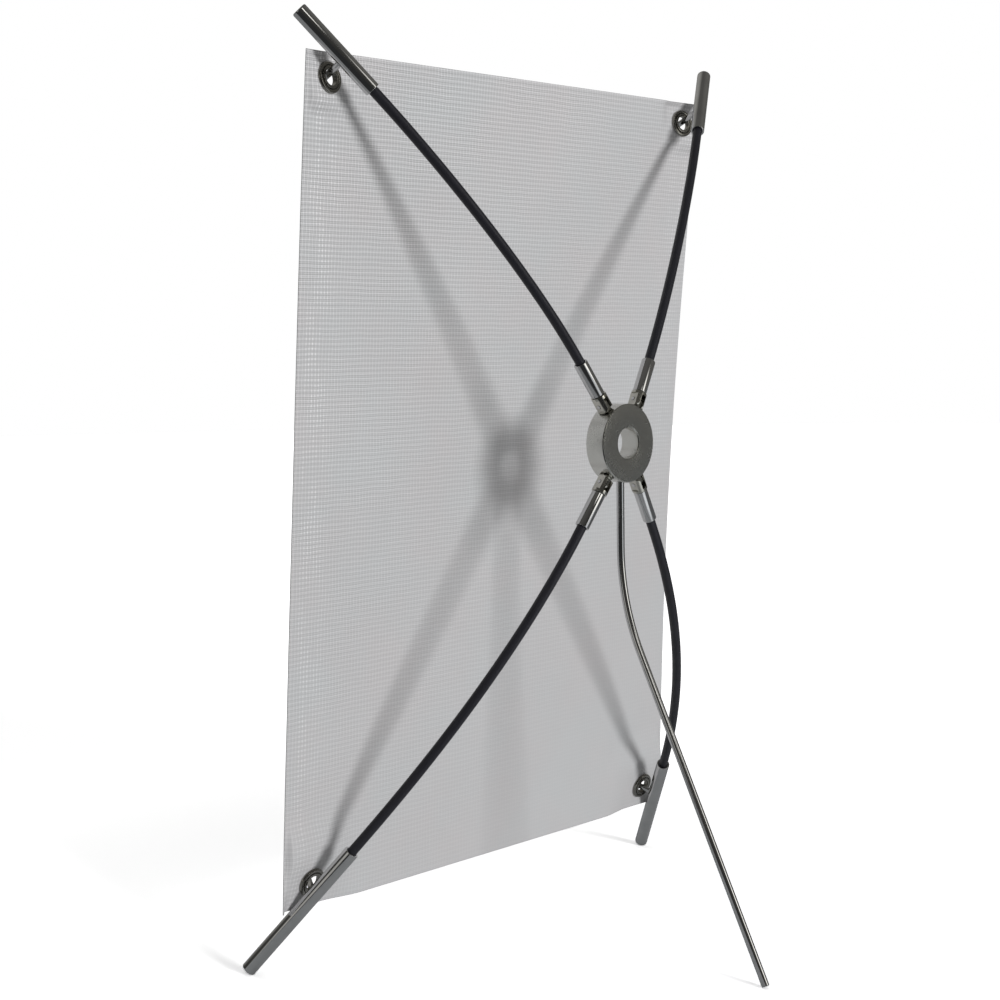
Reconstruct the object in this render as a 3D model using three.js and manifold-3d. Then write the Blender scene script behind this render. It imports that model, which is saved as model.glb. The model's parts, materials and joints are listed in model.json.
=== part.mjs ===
// A table-top X banner stand. A ring hub carries four springy arms that fold back, each arm's tip hooks
// one corner eyelet of a small banner, and one bent leg plugged under the hub props it from behind.
// Millimetres, +Z up, the banner faces -Y. Built around the hub's centre, then set on the ground.
import * as THREE from 'three';
import { mergeVertices } from 'three/addons/utils/BufferGeometryUtils.js';
import Module from 'manifold-3d';

const wasm = await Module();
wasm.setup();

const rad = THREE.MathUtils.degToRad;

// Gap left between faces that touch on the real stand, how far a cut runs past the face it opens, and
// how near two corners of a mesh are taken as one
const seatGap = 0.3;
const cutOverrun = 2;
const mergeDistance = 0.0001;

// Banner sheet: its cut size, how it stands to the hub, and the shape that its hooks pull it into
const bannerWidth = 297;
const bannerHeight = 420;
const bannerThickness = 0.5;
const bannerLean = rad(4.4);
const bannerForwardOfHub = 95.5;
const hubAboveBannerFoot = 230.3;
const bannerBow = 2.5;

// Eyelets: a flanged barrel from the front and a domed washer at the back
const eyeletDiameter = 15.4;
const eyeletHoleDiameter = 8;
const eyeletBarrelWall = 0.6;
const eyeletFlangeThickness = 0.6;
const eyeletLipWidth = 1.5;
const eyeletLipThickness = 0.6;
const washerThickness = 0.6;
const washerDome = 0.7;

// Hub ring
const hubDiameter = 40;
const hubBore = 16;
const hubThickness = 11.5;
const hubChamfer = 0.5;

// Hinge at the root of each arm: a tongue on the hub inside a fork on the arm
const hingePivotRadius = 24.4;
const hingePinDiameter = 2;
const hingePinProud = 0.2;
const lugPlugDiameter = 6;
const lugPlugLength = 7.4;
const tongueThickness = 2.6;
const tongueHeight = 5.4;
const knuckleDiameter = 8.2;
const knuckleAcrossFlats = 6.8;
const knuckleFlatLength = 3.6;
const knuckleCollarEnd = 5.1;
const shankDiameter = 5;
const shankLength = 6;
const slotFloorGap = 0.6;

// Arm sleeves and rods
const ferruleDiameter = 7.2;
const ferruleLength = 19.3;
const ferruleChamfer = 0.3;
const rodDiameter = 5;
const rodInTube = 13.5;
const tubeDiameter = 7.6;
const tubeEndWall = 1.6;
const tubeEndRounding = 0.9;
const hookPinDiameter = 3.2;
const hookPinRounding = 1;
const hookPinProud = 4.5;
const hookPinInTube = 0.8;

// A pin's slant and its place in the eyelet depend on each other, and settle in this many rounds
const bearingRounds = 6;

// Arms leave the hub at this angle from level, and stop this far forward of its plane
const armRootAngle = rad(56.7);
const armForwardAngle = rad(6.5);

// Upper and lower arms. The eyelet's place is given from the banner's side edge and end edge, the tube's
// axis from the eyelet's centre, and the tube's direction by its angle from level and its dip forward.
// The eyelet's rear face leans towards its end of the banner, turned inward by tiltInward. The sheet
// around it keeps that tilt for tiltToSide and tiltToEnd, from the eyelet's centre towards the edges.
const armKinds = {
  upper: {
    up: 1,
    eyeletFromSide: 14.3,
    eyeletFromEnd: 12,
    eyeletTilt: rad(14),
    tiltInward: rad(36),
    tiltToSide: 8.2,
    tiltToEnd: 8.2,
    tubeOutboard: 1.3,
    tubeBehind: 12.1,
    tubeBeyond: 8.2,
    tubeRise: rad(49.5),
    tubeDip: rad(24.1),
    mouthToPin: 19.2,
    pinToTip: 30.3,
    rodPullAtRoot: 47.3,
    rodPullAtTip: 50.7,
    tubeName: 'tip_tube',
  },
  lower: {
    up: -1,
    eyeletFromSide: 17.9,
    eyeletFromEnd: 13.5,
    eyeletTilt: rad(14),
    tiltInward: rad(0),
    tiltToSide: 13.9,
    tiltToEnd: 20,
    tubeOutboard: 4.5,
    tubeBehind: 7.6,
    tubeBeyond: 4,
    tubeRise: rad(63.6),
    tubeDip: rad(28.2),
    mouthToPin: 29.7,
    pinToTip: 52.6,
    rodPullAtRoot: 54.7,
    rodPullAtTip: 82.5,
    tubeName: 'foot_tube',
  },
};

// The side edges as seen from the front: left is -X
const sides = { left: -1, right: 1 };

// The sheet lies flat against each eyelet, this far past its rim, and bends back over a short distance
const padMargin = 0.5;
const padFade = 4;

// Rear leg
const legDiameter = 4;
const legInHub = 8.6;
const legBendBelowHub = 81.4;
const legBendRadius = 120;
const legSlope = rad(26.4);

// Facets round each kind of turned piece, and steps along each bent one
const hubSides = 48;
const eyeletSides = 20;
const sleeveSides = 20;
const rodSides = 12;
const pinSides = 12;
const roundingSteps = 3;
const rodSteps = 22;
const legSteps = 26;
const bannerMiddleColumns = 6;
const bannerMiddleRows = 10;

// Finishes
const chrome = { color: 0xb9bbbd, roughness: 0.12, metalness: 1 };
const milledSteel = { color: 0x77766e, roughness: 0.35, metalness: 1 };
const nickel = { color: 0x9d988f, roughness: 0.2, metalness: 1 };
const blackGlassFibre = { color: 0x1b1b20, roughness: 0.5, metalness: 0 };
const scrimVinyl = { color: 0xc6c7c8, roughness: 0.6, metalness: 0 };

const xAxis = new THREE.Vector3(1, 0, 0);
const rearward = new THREE.Vector3(0, 1, 0);

function positionsOnly(geometry) {
  const bare = geometry.index ? geometry.toNonIndexed() : geometry.clone();
  bare.deleteAttribute('normal');
  bare.deleteAttribute('uv');
  return mergeVertices(bare, mergeDistance);
}

function toSolid(geometry) {
  const merged = positionsOnly(geometry);
  const mesh = new wasm.Mesh({
    numProp: 3,
    vertProperties: new Float32Array(merged.attributes.position.array),
    triVerts: new Uint32Array(merged.index.array),
  });
  return new wasm.Manifold(mesh);
}

function toGeometry(solid) {
  const mesh = solid.getMesh();
  const geometry = new THREE.BufferGeometry();
  geometry.setAttribute('position', new THREE.BufferAttribute(new Float32Array(mesh.vertProperties), 3));
  geometry.setIndex(new THREE.BufferAttribute(new Uint32Array(mesh.triVerts), 1));
  geometry.computeVertexNormals();
  return geometry;
}

// A turned piece about the X axis. Its outline is a list of [place along the axis, radius].
function turned(outline, count) {
  const points = outline.map(([along, radius]) => new THREE.Vector2(radius, along));
  return new THREE.LatheGeometry(points, count).rotateZ(-Math.PI / 2);
}

// A straight round bar along X from one place to another
function bar(from, to, radius, count) {
  return turned([[from, 0], [from, radius], [to, radius], [to, 0]], count);
}

// A block given by its lowest and highest corners
function block(low, high) {
  const size = new THREE.Vector3().subVectors(high, low);
  const centre = new THREE.Vector3().addVectors(low, high).multiplyScalar(1 / 2);
  return new THREE.BoxGeometry(size.x, size.y, size.z).translate(centre.x, centre.y, centre.z);
}

// Outline points that round the far end of a bar: [along, radius] places from its side to its end face
function roundedEnd(end, barRadius, rounding) {
  const points = [];
  for (let i = 0; i <= roundingSteps; i += 1) {
    const angle = (i / roundingSteps) * (Math.PI / 2);
    const along = end - rounding + rounding * Math.sin(angle);
    points.push([along, barRadius - rounding + rounding * Math.cos(angle)]);
  }
  return points;
}

// A round bar bent along a path
function bentBar(path, diameter, count, steps) {
  const corners = [];
  for (let i = 0; i < count; i += 1) {
    const angle = (i / count) * Math.PI * 2;
    corners.push(new THREE.Vector2(Math.cos(angle), Math.sin(angle)).multiplyScalar(diameter / 2));
  }
  const section = new THREE.Shape(corners);
  return new THREE.ExtrudeGeometry(section, { steps, extrudePath: path, bevelEnabled: false });
}

function addMesh(parent, name, geometry, finish) {
  const mesh = new THREE.Mesh(geometry, new THREE.MeshStandardMaterial(finish));
  mesh.name = name;
  parent.add(mesh);
  return mesh;
}

// A group at a point whose X axis runs along one direction and whose Z axis along another, square to it
function groupOn(point, along, square) {
  const group = new THREE.Group();
  const across = new THREE.Vector3().crossVectors(square, along);
  const basis = new THREE.Matrix4().makeBasis(along, across, square);
  group.quaternion.setFromRotationMatrix(basis);
  group.position.copy(point);
  return group;
}

// Places and directions of the banner's own frame, in the hub's frame. The banner's frame starts at the
// middle of its bottom edge: X across, Y to the rear, Z up the sheet.
function turnFromBanner(x, y, z) {
  return new THREE.Vector3(x, y, z).applyAxisAngle(xAxis, -bannerLean);
}

function pointFromBanner(x, y, z) {
  return turnFromBanner(x, y, z).add(new THREE.Vector3(0, -bannerForwardOfHub, -hubAboveBannerFoot));
}

// The eyelet of one corner in the banner's frame: its centre, the way that it leans, and its tilted
// rear normal and outward direction
function eyeletPlace(kind, side) {
  const x = side * (bannerWidth / 2 - kind.eyeletFromSide);
  const z = kind.up > 0 ? bannerHeight - kind.eyeletFromEnd : kind.eyeletFromEnd;
  const centre = new THREE.Vector3(x, mainBow(z), z);
  const lean = new THREE.Vector3(-side * Math.sin(kind.tiltInward), 0, kind.up * Math.cos(kind.tiltInward));
  const normal = new THREE.Vector3(0, Math.cos(kind.eyeletTilt), 0);
  normal.addScaledVector(lean, Math.sin(kind.eyeletTilt));
  const out = new THREE.Vector3(side * Math.cos(kind.tubeRise), 0, kind.up * Math.sin(kind.tubeRise));
  out.addScaledVector(normal, -out.dot(normal)).normalize();
  return { centre, lean, normal, out };
}

// How far the sheet stands rearward of its flat plane, from its bow alone
function mainBow(z) {
  const share = (2 * z) / bannerHeight - 1;
  return -bannerBow * (1 - share * share);
}

const padReach = eyeletDiameter / 2 + padMargin;

// How much of an eyelet's tilt the sheet still has at a distance from its centre, counted towards the
// sheet's edge, where it starts to fade at edgeReach
function tiltLeft(distance, edgeReach) {
  const reach = distance > 0 ? edgeReach : padReach;
  return 1 - THREE.MathUtils.smoothstep(Math.abs(distance), reach, reach + padFade);
}

// How far the sheet stands rearward of its flat plane at any point, with the pads of its eyelets
function sheetDepth(x, z) {
  const bowed = mainBow(z);
  let depth = bowed;
  for (const kind of Object.values(armKinds)) {
    for (const side of Object.values(sides)) {
      const place = eyeletPlace(kind, side);
      const dx = x - place.centre.x;
      const dz = z - place.centre.z;
      const leaned = dx * place.lean.x + dz * place.lean.z;
      const tilted = place.centre.y - Math.tan(kind.eyeletTilt) * leaned;
      const kept = tiltLeft(dx * side, kind.tiltToSide) * tiltLeft(dz * kind.up, kind.tiltToEnd);
      depth += (tilted - bowed) * kept;
    }
  }
  return depth;
}

// Distances from one edge of the sheet at which its mesh has a line: the edge, and the start, middle and
// end of the bend on both sides of each eyelet's pad
function edgeLines(pads) {
  const lines = new Set([0]);
  for (const { inset, edgeReach } of pads) {
    for (const share of [0, 0.5, 1]) {
      lines.add(Math.max(inset - edgeReach - share * padFade, 0));
      lines.add(inset + padReach + share * padFade);
    }
  }
  return [...lines].sort((a, b) => a - b);
}

// All lines of the sheet's mesh along one direction, from its near lines, its far lines and its size
function sheetLines(nearLines, farLines, size, middleSteps) {
  const start = nearLines[nearLines.length - 1];
  const end = size - farLines[farLines.length - 1];
  const lines = [...nearLines];
  for (let i = 1; i < middleSteps; i += 1) {
    lines.push(start + (i / middleSteps) * (end - start));
  }
  return [...lines, ...farLines.map((line) => size - line).reverse()];
}

function bannerSheet() {
  const { upper, lower } = armKinds;
  const sideLines = edgeLines([
    { inset: upper.eyeletFromSide, edgeReach: upper.tiltToSide },
    { inset: lower.eyeletFromSide, edgeReach: lower.tiltToSide },
  ]);
  const columns = sheetLines(sideLines, sideLines, bannerWidth, bannerMiddleColumns);
  const lowerLines = edgeLines([{ inset: lower.eyeletFromEnd, edgeReach: lower.tiltToEnd }]);
  const upperLines = edgeLines([{ inset: upper.eyeletFromEnd, edgeReach: upper.tiltToEnd }]);
  const rows = sheetLines(lowerLines, upperLines, bannerHeight, bannerMiddleRows);
  const across = columns.length - 1;
  const up = rows.length - 1;
  const sheet = new THREE.BoxGeometry(across, bannerThickness, up, across, 1, up);
  const place = sheet.attributes.position;
  for (let i = 0; i < place.count; i += 1) {
    const x = columns[Math.round(place.getX(i) + across / 2)] - bannerWidth / 2;
    const z = rows[Math.round(place.getZ(i) + up / 2)];
    place.setXYZ(i, x, place.getY(i) + sheetDepth(x, z), z);
  }
  let solid = toSolid(sheet);
  const holeRadius = eyeletHoleDiameter / 2 + eyeletBarrelWall + seatGap;
  for (const kind of Object.values(armKinds)) {
    for (const side of Object.values(sides)) {
      const { centre, normal, out } = eyeletPlace(kind, side);
      const hole = bar(-cutOverrun, cutOverrun, holeRadius, eyeletSides);
      const holder = groupOn(centre, normal, out);
      holder.updateMatrix();
      solid = solid.subtract(toSolid(hole.applyMatrix4(holder.matrix)));
    }
  }
  return toGeometry(solid);
}

// Levels through an eyelet, from the middle of the sheet towards the rear
const sheetFace = bannerThickness / 2;
const flangeFace = -(sheetFace + seatGap);
const flangeFront = flangeFace - eyeletFlangeThickness;
const washerSeat = sheetFace + seatGap;
const washerTop = washerSeat + washerThickness;
const lipSeat = washerTop + seatGap;
const lipTop = lipSeat + eyeletLipThickness;
const barrelInner = eyeletHoleDiameter / 2;
const barrelOuter = barrelInner + eyeletBarrelWall;

// How far the barrel's straight part reaches from the middle of the sheet: a slanted pin clears all of it
const barrelReach = Math.max(lipTop, -flangeFront) - eyeletFlangeThickness / 2;

function eyelet() {
  const edge = eyeletDiameter / 2;
  const half = eyeletFlangeThickness / 2;
  const lipEdge = barrelInner + eyeletLipWidth;
  return turned([
    [flangeFront + half, barrelInner],
    [flangeFront, barrelInner + half],
    [flangeFront, edge - half],
    [flangeFront + half, edge],
    [flangeFace, edge - half],
    [flangeFace, barrelOuter],
    [lipSeat, barrelOuter],
    [lipSeat, lipEdge],
    [lipTop, lipEdge - half],
    [lipTop, barrelInner + half],
    [lipTop - half, barrelInner],
    [flangeFront + half, barrelInner],
  ], eyeletSides);
}

function eyeletWasher() {
  const edge = eyeletDiameter / 2;
  const inner = barrelOuter + seatGap;
  const lipEdge = barrelInner + eyeletLipWidth + seatGap;
  const crest = (edge + lipEdge) / 2;
  return turned([
    [washerSeat, inner],
    [washerSeat, edge],
    [washerTop, edge - washerThickness / 2],
    [washerTop + washerDome, crest],
    [washerTop, lipEdge],
    [washerTop, inner],
    [washerSeat, inner],
  ], eyeletSides);
}

// The ring, with a socket for each hinge lug and one for the leg
function hubRing() {
  const half = hubThickness / 2;
  const outer = hubDiameter / 2;
  const inner = hubBore / 2;
  const ring = turned([
    [-half, inner + hubChamfer],
    [-half, outer - hubChamfer],
    [-half + hubChamfer, outer],
    [half - hubChamfer, outer],
    [half, outer - hubChamfer],
    [half, inner + hubChamfer],
    [half - hubChamfer, inner],
    [-half + hubChamfer, inner],
    [-half, inner + hubChamfer],
  ], hubSides).rotateZ(Math.PI / 2);
  let solid = toSolid(ring);
  const lugSocketFloor = lugPlugEnd - lugPlugLength - seatGap;
  const lugSocketRadius = lugPlugDiameter / 2 + seatGap;
  for (const kind of Object.values(armKinds)) {
    for (const side of Object.values(sides)) {
      const socket = bar(lugSocketFloor, outer + cutOverrun, lugSocketRadius, sleeveSides);
      const holder = groupOn(new THREE.Vector3(), armRadial(kind, side), rearward);
      holder.updateMatrix();
      solid = solid.subtract(toSolid(socket.applyMatrix4(holder.matrix)));
    }
  }
  const legSocketFloor = outer - legInHub - seatGap;
  const legSocket = bar(legSocketFloor, outer + cutOverrun, legDiameter / 2 + seatGap, rodSides);
  solid = solid.subtract(toSolid(legSocket.rotateY(Math.PI / 2)));
  return toGeometry(solid);
}

// The direction in the hub's plane in which one arm leaves it
function armRadial(kind, side) {
  return new THREE.Vector3(side * Math.cos(armRootAngle), 0, kind.up * Math.sin(armRootAngle));
}

// A piece of the hinge that lies across it: a round bar along Y through the pivot
function acrossPivot(radius, halfWidth, count) {
  return bar(-halfWidth, halfWidth, radius, count).rotateZ(Math.PI / 2);
}

const lugPlugEnd = hubDiameter / 2 - seatGap;
const hingeHoleRadius = hingePinDiameter / 2 + seatGap;

// Hinge lug, in its own frame: X outward from the pivot, Z to the rear
function hingeLug() {
  const plugEnd = lugPlugEnd - hingePivotRadius;
  const plug = bar(plugEnd - lugPlugLength, plugEnd, lugPlugDiameter / 2, sleeveSides);
  const half = tongueThickness / 2;
  const plate = block(
    new THREE.Vector3(plugEnd - lugPlugLength / 2, -half, -tongueHeight / 2),
    new THREE.Vector3(0, half, tongueHeight / 2),
  );
  return toGeometry(
    toSolid(plug)
      .add(toSolid(plate))
      .add(toSolid(acrossPivot(tongueHeight / 2, half, sleeveSides)))
      .subtract(toSolid(acrossPivot(hingeHoleRadius, half + cutOverrun, pinSides))),
  );
}

// Knuckle, in the arm's frame: X along the arm from the pivot, Z to the rear. Behind the pivot it is
// round, so that the arm can swing back, and in front it is left square: that heel meets the hub's rim.
function knuckle() {
  const round = knuckleDiameter / 2;
  const heel = hingePivotRadius - hubDiameter / 2 - seatGap;
  const flat = knuckleAcrossFlats / 2;
  const slot = tongueThickness / 2 + seatGap;
  const slotFloor = tongueHeight / 2 + slotFloorGap;
  const shankEnd = knuckleCollarEnd + shankLength;
  const body = turned([
    [-round * 2, 0],
    [-round * 2, round],
    [knuckleCollarEnd - ferruleChamfer, round],
    [knuckleCollarEnd, round - ferruleChamfer],
    [knuckleCollarEnd, shankDiameter / 2],
    [shankEnd, shankDiameter / 2],
    [shankEnd, 0],
  ], sleeveSides);
  const heelBlock = block(
    new THREE.Vector3(-heel, -round, -knuckleDiameter),
    new THREE.Vector3(0, round, 0),
  ).rotateY(-armForwardAngle);
  const outerBlock = block(
    new THREE.Vector3(0, -round - cutOverrun, -round - cutOverrun),
    new THREE.Vector3(shankEnd + cutOverrun, round + cutOverrun, round + cutOverrun),
  );
  const keep = toSolid(acrossPivot(heel, round + cutOverrun, sleeveSides))
    .add(toSolid(heelBlock))
    .add(toSolid(outerBlock));
  let solid = toSolid(body).intersect(keep);
  for (const side of [-1, 1]) {
    const near = side > 0 ? flat : -round - cutOverrun;
    const far = side > 0 ? round + cutOverrun : -flat;
    const waste = block(
      new THREE.Vector3(-knuckleDiameter, near, -round - cutOverrun),
      new THREE.Vector3(knuckleFlatLength, far, round + cutOverrun),
    );
    solid = solid.subtract(toSolid(waste));
  }
  const slotBlock = block(
    new THREE.Vector3(-knuckleDiameter, -slot, -round - cutOverrun),
    new THREE.Vector3(slotFloor, slot, round + cutOverrun),
  );
  solid = solid.subtract(toSolid(slotBlock));
  return toGeometry(solid.subtract(toSolid(acrossPivot(hingeHoleRadius, round + cutOverrun, pinSides))));
}

function hingePin() {
  const half = knuckleAcrossFlats / 2 + hingePinProud;
  const radius = hingePinDiameter / 2;
  return turned([
    [-half, 0],
    [-half, radius - hingePinProud],
    [-half + hingePinProud, radius],
    [half - hingePinProud, radius],
    [half, radius - hingePinProud],
    [half, 0],
  ], pinSides).rotateZ(Math.PI / 2);
}

const sleeveBore = rodDiameter / 2 + seatGap;
const ferruleStart = knuckleCollarEnd + seatGap;
const ferruleEnd = ferruleStart + ferruleLength;

function ferrule() {
  const outer = ferruleDiameter / 2;
  return turned([
    [ferruleStart, sleeveBore],
    [ferruleStart, outer],
    [ferruleEnd - ferruleChamfer, outer],
    [ferruleEnd, outer - ferruleChamfer],
    [ferruleEnd, sleeveBore],
    [ferruleStart, sleeveBore],
  ], sleeveSides);
}

// Tip or foot tube, in its own frame: X from the mouth to the closed end, -Z along its hook pin
function endTube(kind) {
  const outer = tubeDiameter / 2;
  const end = kind.mouthToPin + kind.pinToTip;
  const tube = turned([
    [end - tubeEndWall, 0],
    [end - tubeEndWall, sleeveBore],
    [0, sleeveBore],
    [0, outer - ferruleChamfer],
    [ferruleChamfer, outer],
    ...roundedEnd(end, outer, tubeEndRounding),
    [end, 0],
  ], sleeveSides);
  const pinHole = bar(-seatGap, outer + cutOverrun, hookPinDiameter / 2 + seatGap, pinSides)
    .rotateY(Math.PI / 2)
    .translate(kind.mouthToPin, 0, 0);
  return toGeometry(toSolid(tube).subtract(toSolid(pinHole)));
}

// Hook pin along X, from just inside the tube's bore to its rounded free end. Its length counts from
// the tube's axis.
function hookPin(length) {
  const radius = hookPinDiameter / 2;
  const root = sleeveBore - hookPinInTube;
  return turned([
    [root, 0],
    [root, radius],
    ...roundedEnd(length, radius, hookPinRounding),
    [length, 0],
  ], pinSides);
}

// Where the tube and the hook pin of one arm lie, worked out in the banner's frame from its eyelet
function tubePlace(kind, side) {
  const place = eyeletPlace(kind, side);
  const along = new THREE.Vector3(
    side * Math.cos(kind.tubeRise) * Math.cos(kind.tubeDip),
    -Math.sin(kind.tubeDip),
    kind.up * Math.sin(kind.tubeRise) * Math.cos(kind.tubeDip),
  );
  const offset = new THREE.Vector3(side * kind.tubeOutboard, kind.tubeBehind, kind.up * kind.tubeBeyond);
  const onAxis = place.centre.clone().add(offset);
  const bearingPoint = new THREE.Vector3();
  const pinRoot = new THREE.Vector3();
  const pin = new THREE.Vector3();
  let slant = 0;
  for (let round = 0; round < bearingRounds; round += 1) {
    const halfPin = hookPinDiameter / 2 / Math.cos(slant);
    const bearing = barrelInner - seatGap - halfPin - barrelReach * Math.tan(slant);
    bearingPoint.copy(place.centre).addScaledVector(place.out, bearing);
    const alongTube = bearingPoint.clone().sub(onAxis).dot(along);
    pinRoot.copy(onAxis).addScaledVector(along, alongTube);
    pin.subVectors(bearingPoint, pinRoot);
    slant = Math.PI - pin.angleTo(place.normal);
  }
  const pinLength = pin.length() + hookPinProud / Math.cos(pin.angleTo(new THREE.Vector3(0, -1, 0)));
  return { along, pinRoot, pinAlong: pin.normalize(), pinLength };
}

// The rod's path: straight in the ferrule, one smooth bow, and straight in the tube
function rodPath(ferruleMouth, armAlong, tubeMouth, tubeAlong, kind) {
  const root = ferruleMouth.clone().addScaledVector(armAlong, shankLength + 2 * seatGap - ferruleLength);
  const rootPull = ferruleMouth.clone().addScaledVector(armAlong, kind.rodPullAtRoot);
  const tipPull = tubeMouth.clone().addScaledVector(tubeAlong, -kind.rodPullAtTip);
  const tip = tubeMouth.clone().addScaledVector(tubeAlong, rodInTube);
  const path = new THREE.CurvePath();
  path.add(new THREE.LineCurve3(root, ferruleMouth));
  path.add(new THREE.CubicBezierCurve3(ferruleMouth, rootPull, tipPull, tubeMouth));
  path.add(new THREE.LineCurve3(tubeMouth, tip));
  return path;
}

function addArm(parent, kindName, sideName) {
  const kind = armKinds[kindName];
  const side = sides[sideName];
  const name = `${kindName}_${sideName}`;
  const radial = armRadial(kind, side);
  const pivot = radial.clone().multiplyScalar(hingePivotRadius);
  const across = new THREE.Vector3().crossVectors(rearward, radial);
  const armAlong = radial.clone().applyAxisAngle(across, armForwardAngle);
  const armRear = rearward.clone().applyAxisAngle(across, armForwardAngle);

  const lugFrame = groupOn(pivot, radial, rearward);
  addMesh(lugFrame, `${name}_hinge_lug`, hingeLug(), milledSteel);

  const armFrame = groupOn(pivot, armAlong, armRear);
  addMesh(armFrame, `${name}_hinge_pin`, hingePin(), chrome);
  addMesh(armFrame, `${name}_knuckle`, knuckle(), milledSteel);
  addMesh(armFrame, `${name}_ferrule`, ferrule(), chrome);

  const tube = tubePlace(kind, side);
  const pinRoot = pointFromBanner(tube.pinRoot.x, tube.pinRoot.y, tube.pinRoot.z);
  const tubeAlong = turnFromBanner(tube.along.x, tube.along.y, tube.along.z);
  const pinAlong = turnFromBanner(tube.pinAlong.x, tube.pinAlong.y, tube.pinAlong.z);
  const tubeMouth = pinRoot.clone().addScaledVector(tubeAlong, -kind.mouthToPin);
  const tubeFrame = groupOn(tubeMouth, tubeAlong, pinAlong.clone().negate());
  addMesh(tubeFrame, `${name}_${kind.tubeName}`, endTube(kind), chrome);

  const pinFrame = groupOn(pinRoot, pinAlong, tubeAlong);
  addMesh(pinFrame, `${name}_hook_pin`, hookPin(tube.pinLength), chrome);

  const ferruleMouth = pivot.clone().addScaledVector(armAlong, ferruleEnd);
  const path = rodPath(ferruleMouth, armAlong, tubeMouth, tubeAlong, kind);
  addMesh(parent, `${name}_rod`, bentBar(path, rodDiameter, rodSides, rodSteps), blackGlassFibre);
  parent.add(lugFrame, armFrame, tubeFrame, pinFrame);
}

// The lowest level that the rounded end of a foot tube reaches
function footLevel() {
  const kind = armKinds.lower;
  const tube = tubePlace(kind, sides.right);
  const pinRoot = pointFromBanner(tube.pinRoot.x, tube.pinRoot.y, tube.pinRoot.z);
  const along = turnFromBanner(tube.along.x, tube.along.y, tube.along.z);
  const roundCentre = pinRoot.addScaledVector(along, kind.pinToTip - tubeEndRounding);
  const level = Math.sqrt(1 - along.z * along.z);
  return roundCentre.z - (tubeDiameter / 2 - tubeEndRounding) * level - tubeEndRounding;
}

// Rear leg: straight down out of the hub, one bend, and straight to the ground
function rearLeg() {
  const top = new THREE.Vector3(0, 0, legInHub - hubDiameter / 2);
  const corner = new THREE.Vector3(0, 0, -legBendBelowHub);
  const down = new THREE.Vector3(0, 0, -1);
  const slope = new THREE.Vector3(0, Math.sin(legSlope), -Math.cos(legSlope));
  const tangent = legBendRadius * Math.tan(legSlope / 2);
  const pull = (4 / 3) * legBendRadius * Math.tan(legSlope / 4);
  const bendStart = corner.clone().addScaledVector(down, -tangent);
  const bendEnd = corner.clone().addScaledVector(slope, tangent);
  const endLevel = footLevel() + (legDiameter / 2) * Math.sin(legSlope);
  const foot = bendEnd.clone().addScaledVector(slope, (bendEnd.z - endLevel) / Math.cos(legSlope));
  const path = new THREE.CurvePath();
  path.add(new THREE.LineCurve3(top, bendStart));
  path.add(new THREE.CubicBezierCurve3(
    bendStart,
    bendStart.clone().addScaledVector(down, pull),
    bendEnd.clone().addScaledVector(slope, -pull),
    bendEnd,
  ));
  path.add(new THREE.LineCurve3(bendEnd, foot));
  return bentBar(path, legDiameter, rodSides, legSteps);
}

function addBanner(parent) {
  const banner = new THREE.Group();
  banner.rotation.x = -bannerLean;
  banner.position.set(0, -bannerForwardOfHub, -hubAboveBannerFoot);
  addMesh(banner, 'banner_sheet', bannerSheet(), scrimVinyl);
  for (const [kindName, kind] of Object.entries(armKinds)) {
    for (const [sideName, side] of Object.entries(sides)) {
      const place = eyeletPlace(kind, side);
      const frame = groupOn(place.centre, place.normal, place.out);
      addMesh(frame, `${kindName}_${sideName}_eyelet`, eyelet(), nickel);
      addMesh(frame, `${kindName}_${sideName}_eyelet_washer`, eyeletWasher(), nickel);
      banner.add(frame);
    }
  }
  parent.add(banner);
}

const stand = new THREE.Group();
const built = new THREE.Group();
addMesh(built, 'hub_ring', hubRing(), chrome);
for (const kindName of Object.keys(armKinds)) {
  for (const sideName of Object.keys(sides)) {
    addArm(built, kindName, sideName);
  }
}
addBanner(built);
addMesh(built, 'rear_leg', rearLeg(), chrome);
stand.add(built);

// The stand is set down with the middle of its footprint on the origin
stand.updateMatrixWorld(true);
const reach = new THREE.Box3().setFromObject(built, true);
const middle = reach.getCenter(new THREE.Vector3());
built.position.set(-middle.x, -middle.y, -reach.min.z);
stand.updateMatrixWorld(true);

export default stand;
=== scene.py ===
"""A table-top X banner stand, seen from behind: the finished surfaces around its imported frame."""
import json
import math

import bmesh
import bpy
from mathutils import Matrix, Vector


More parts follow.
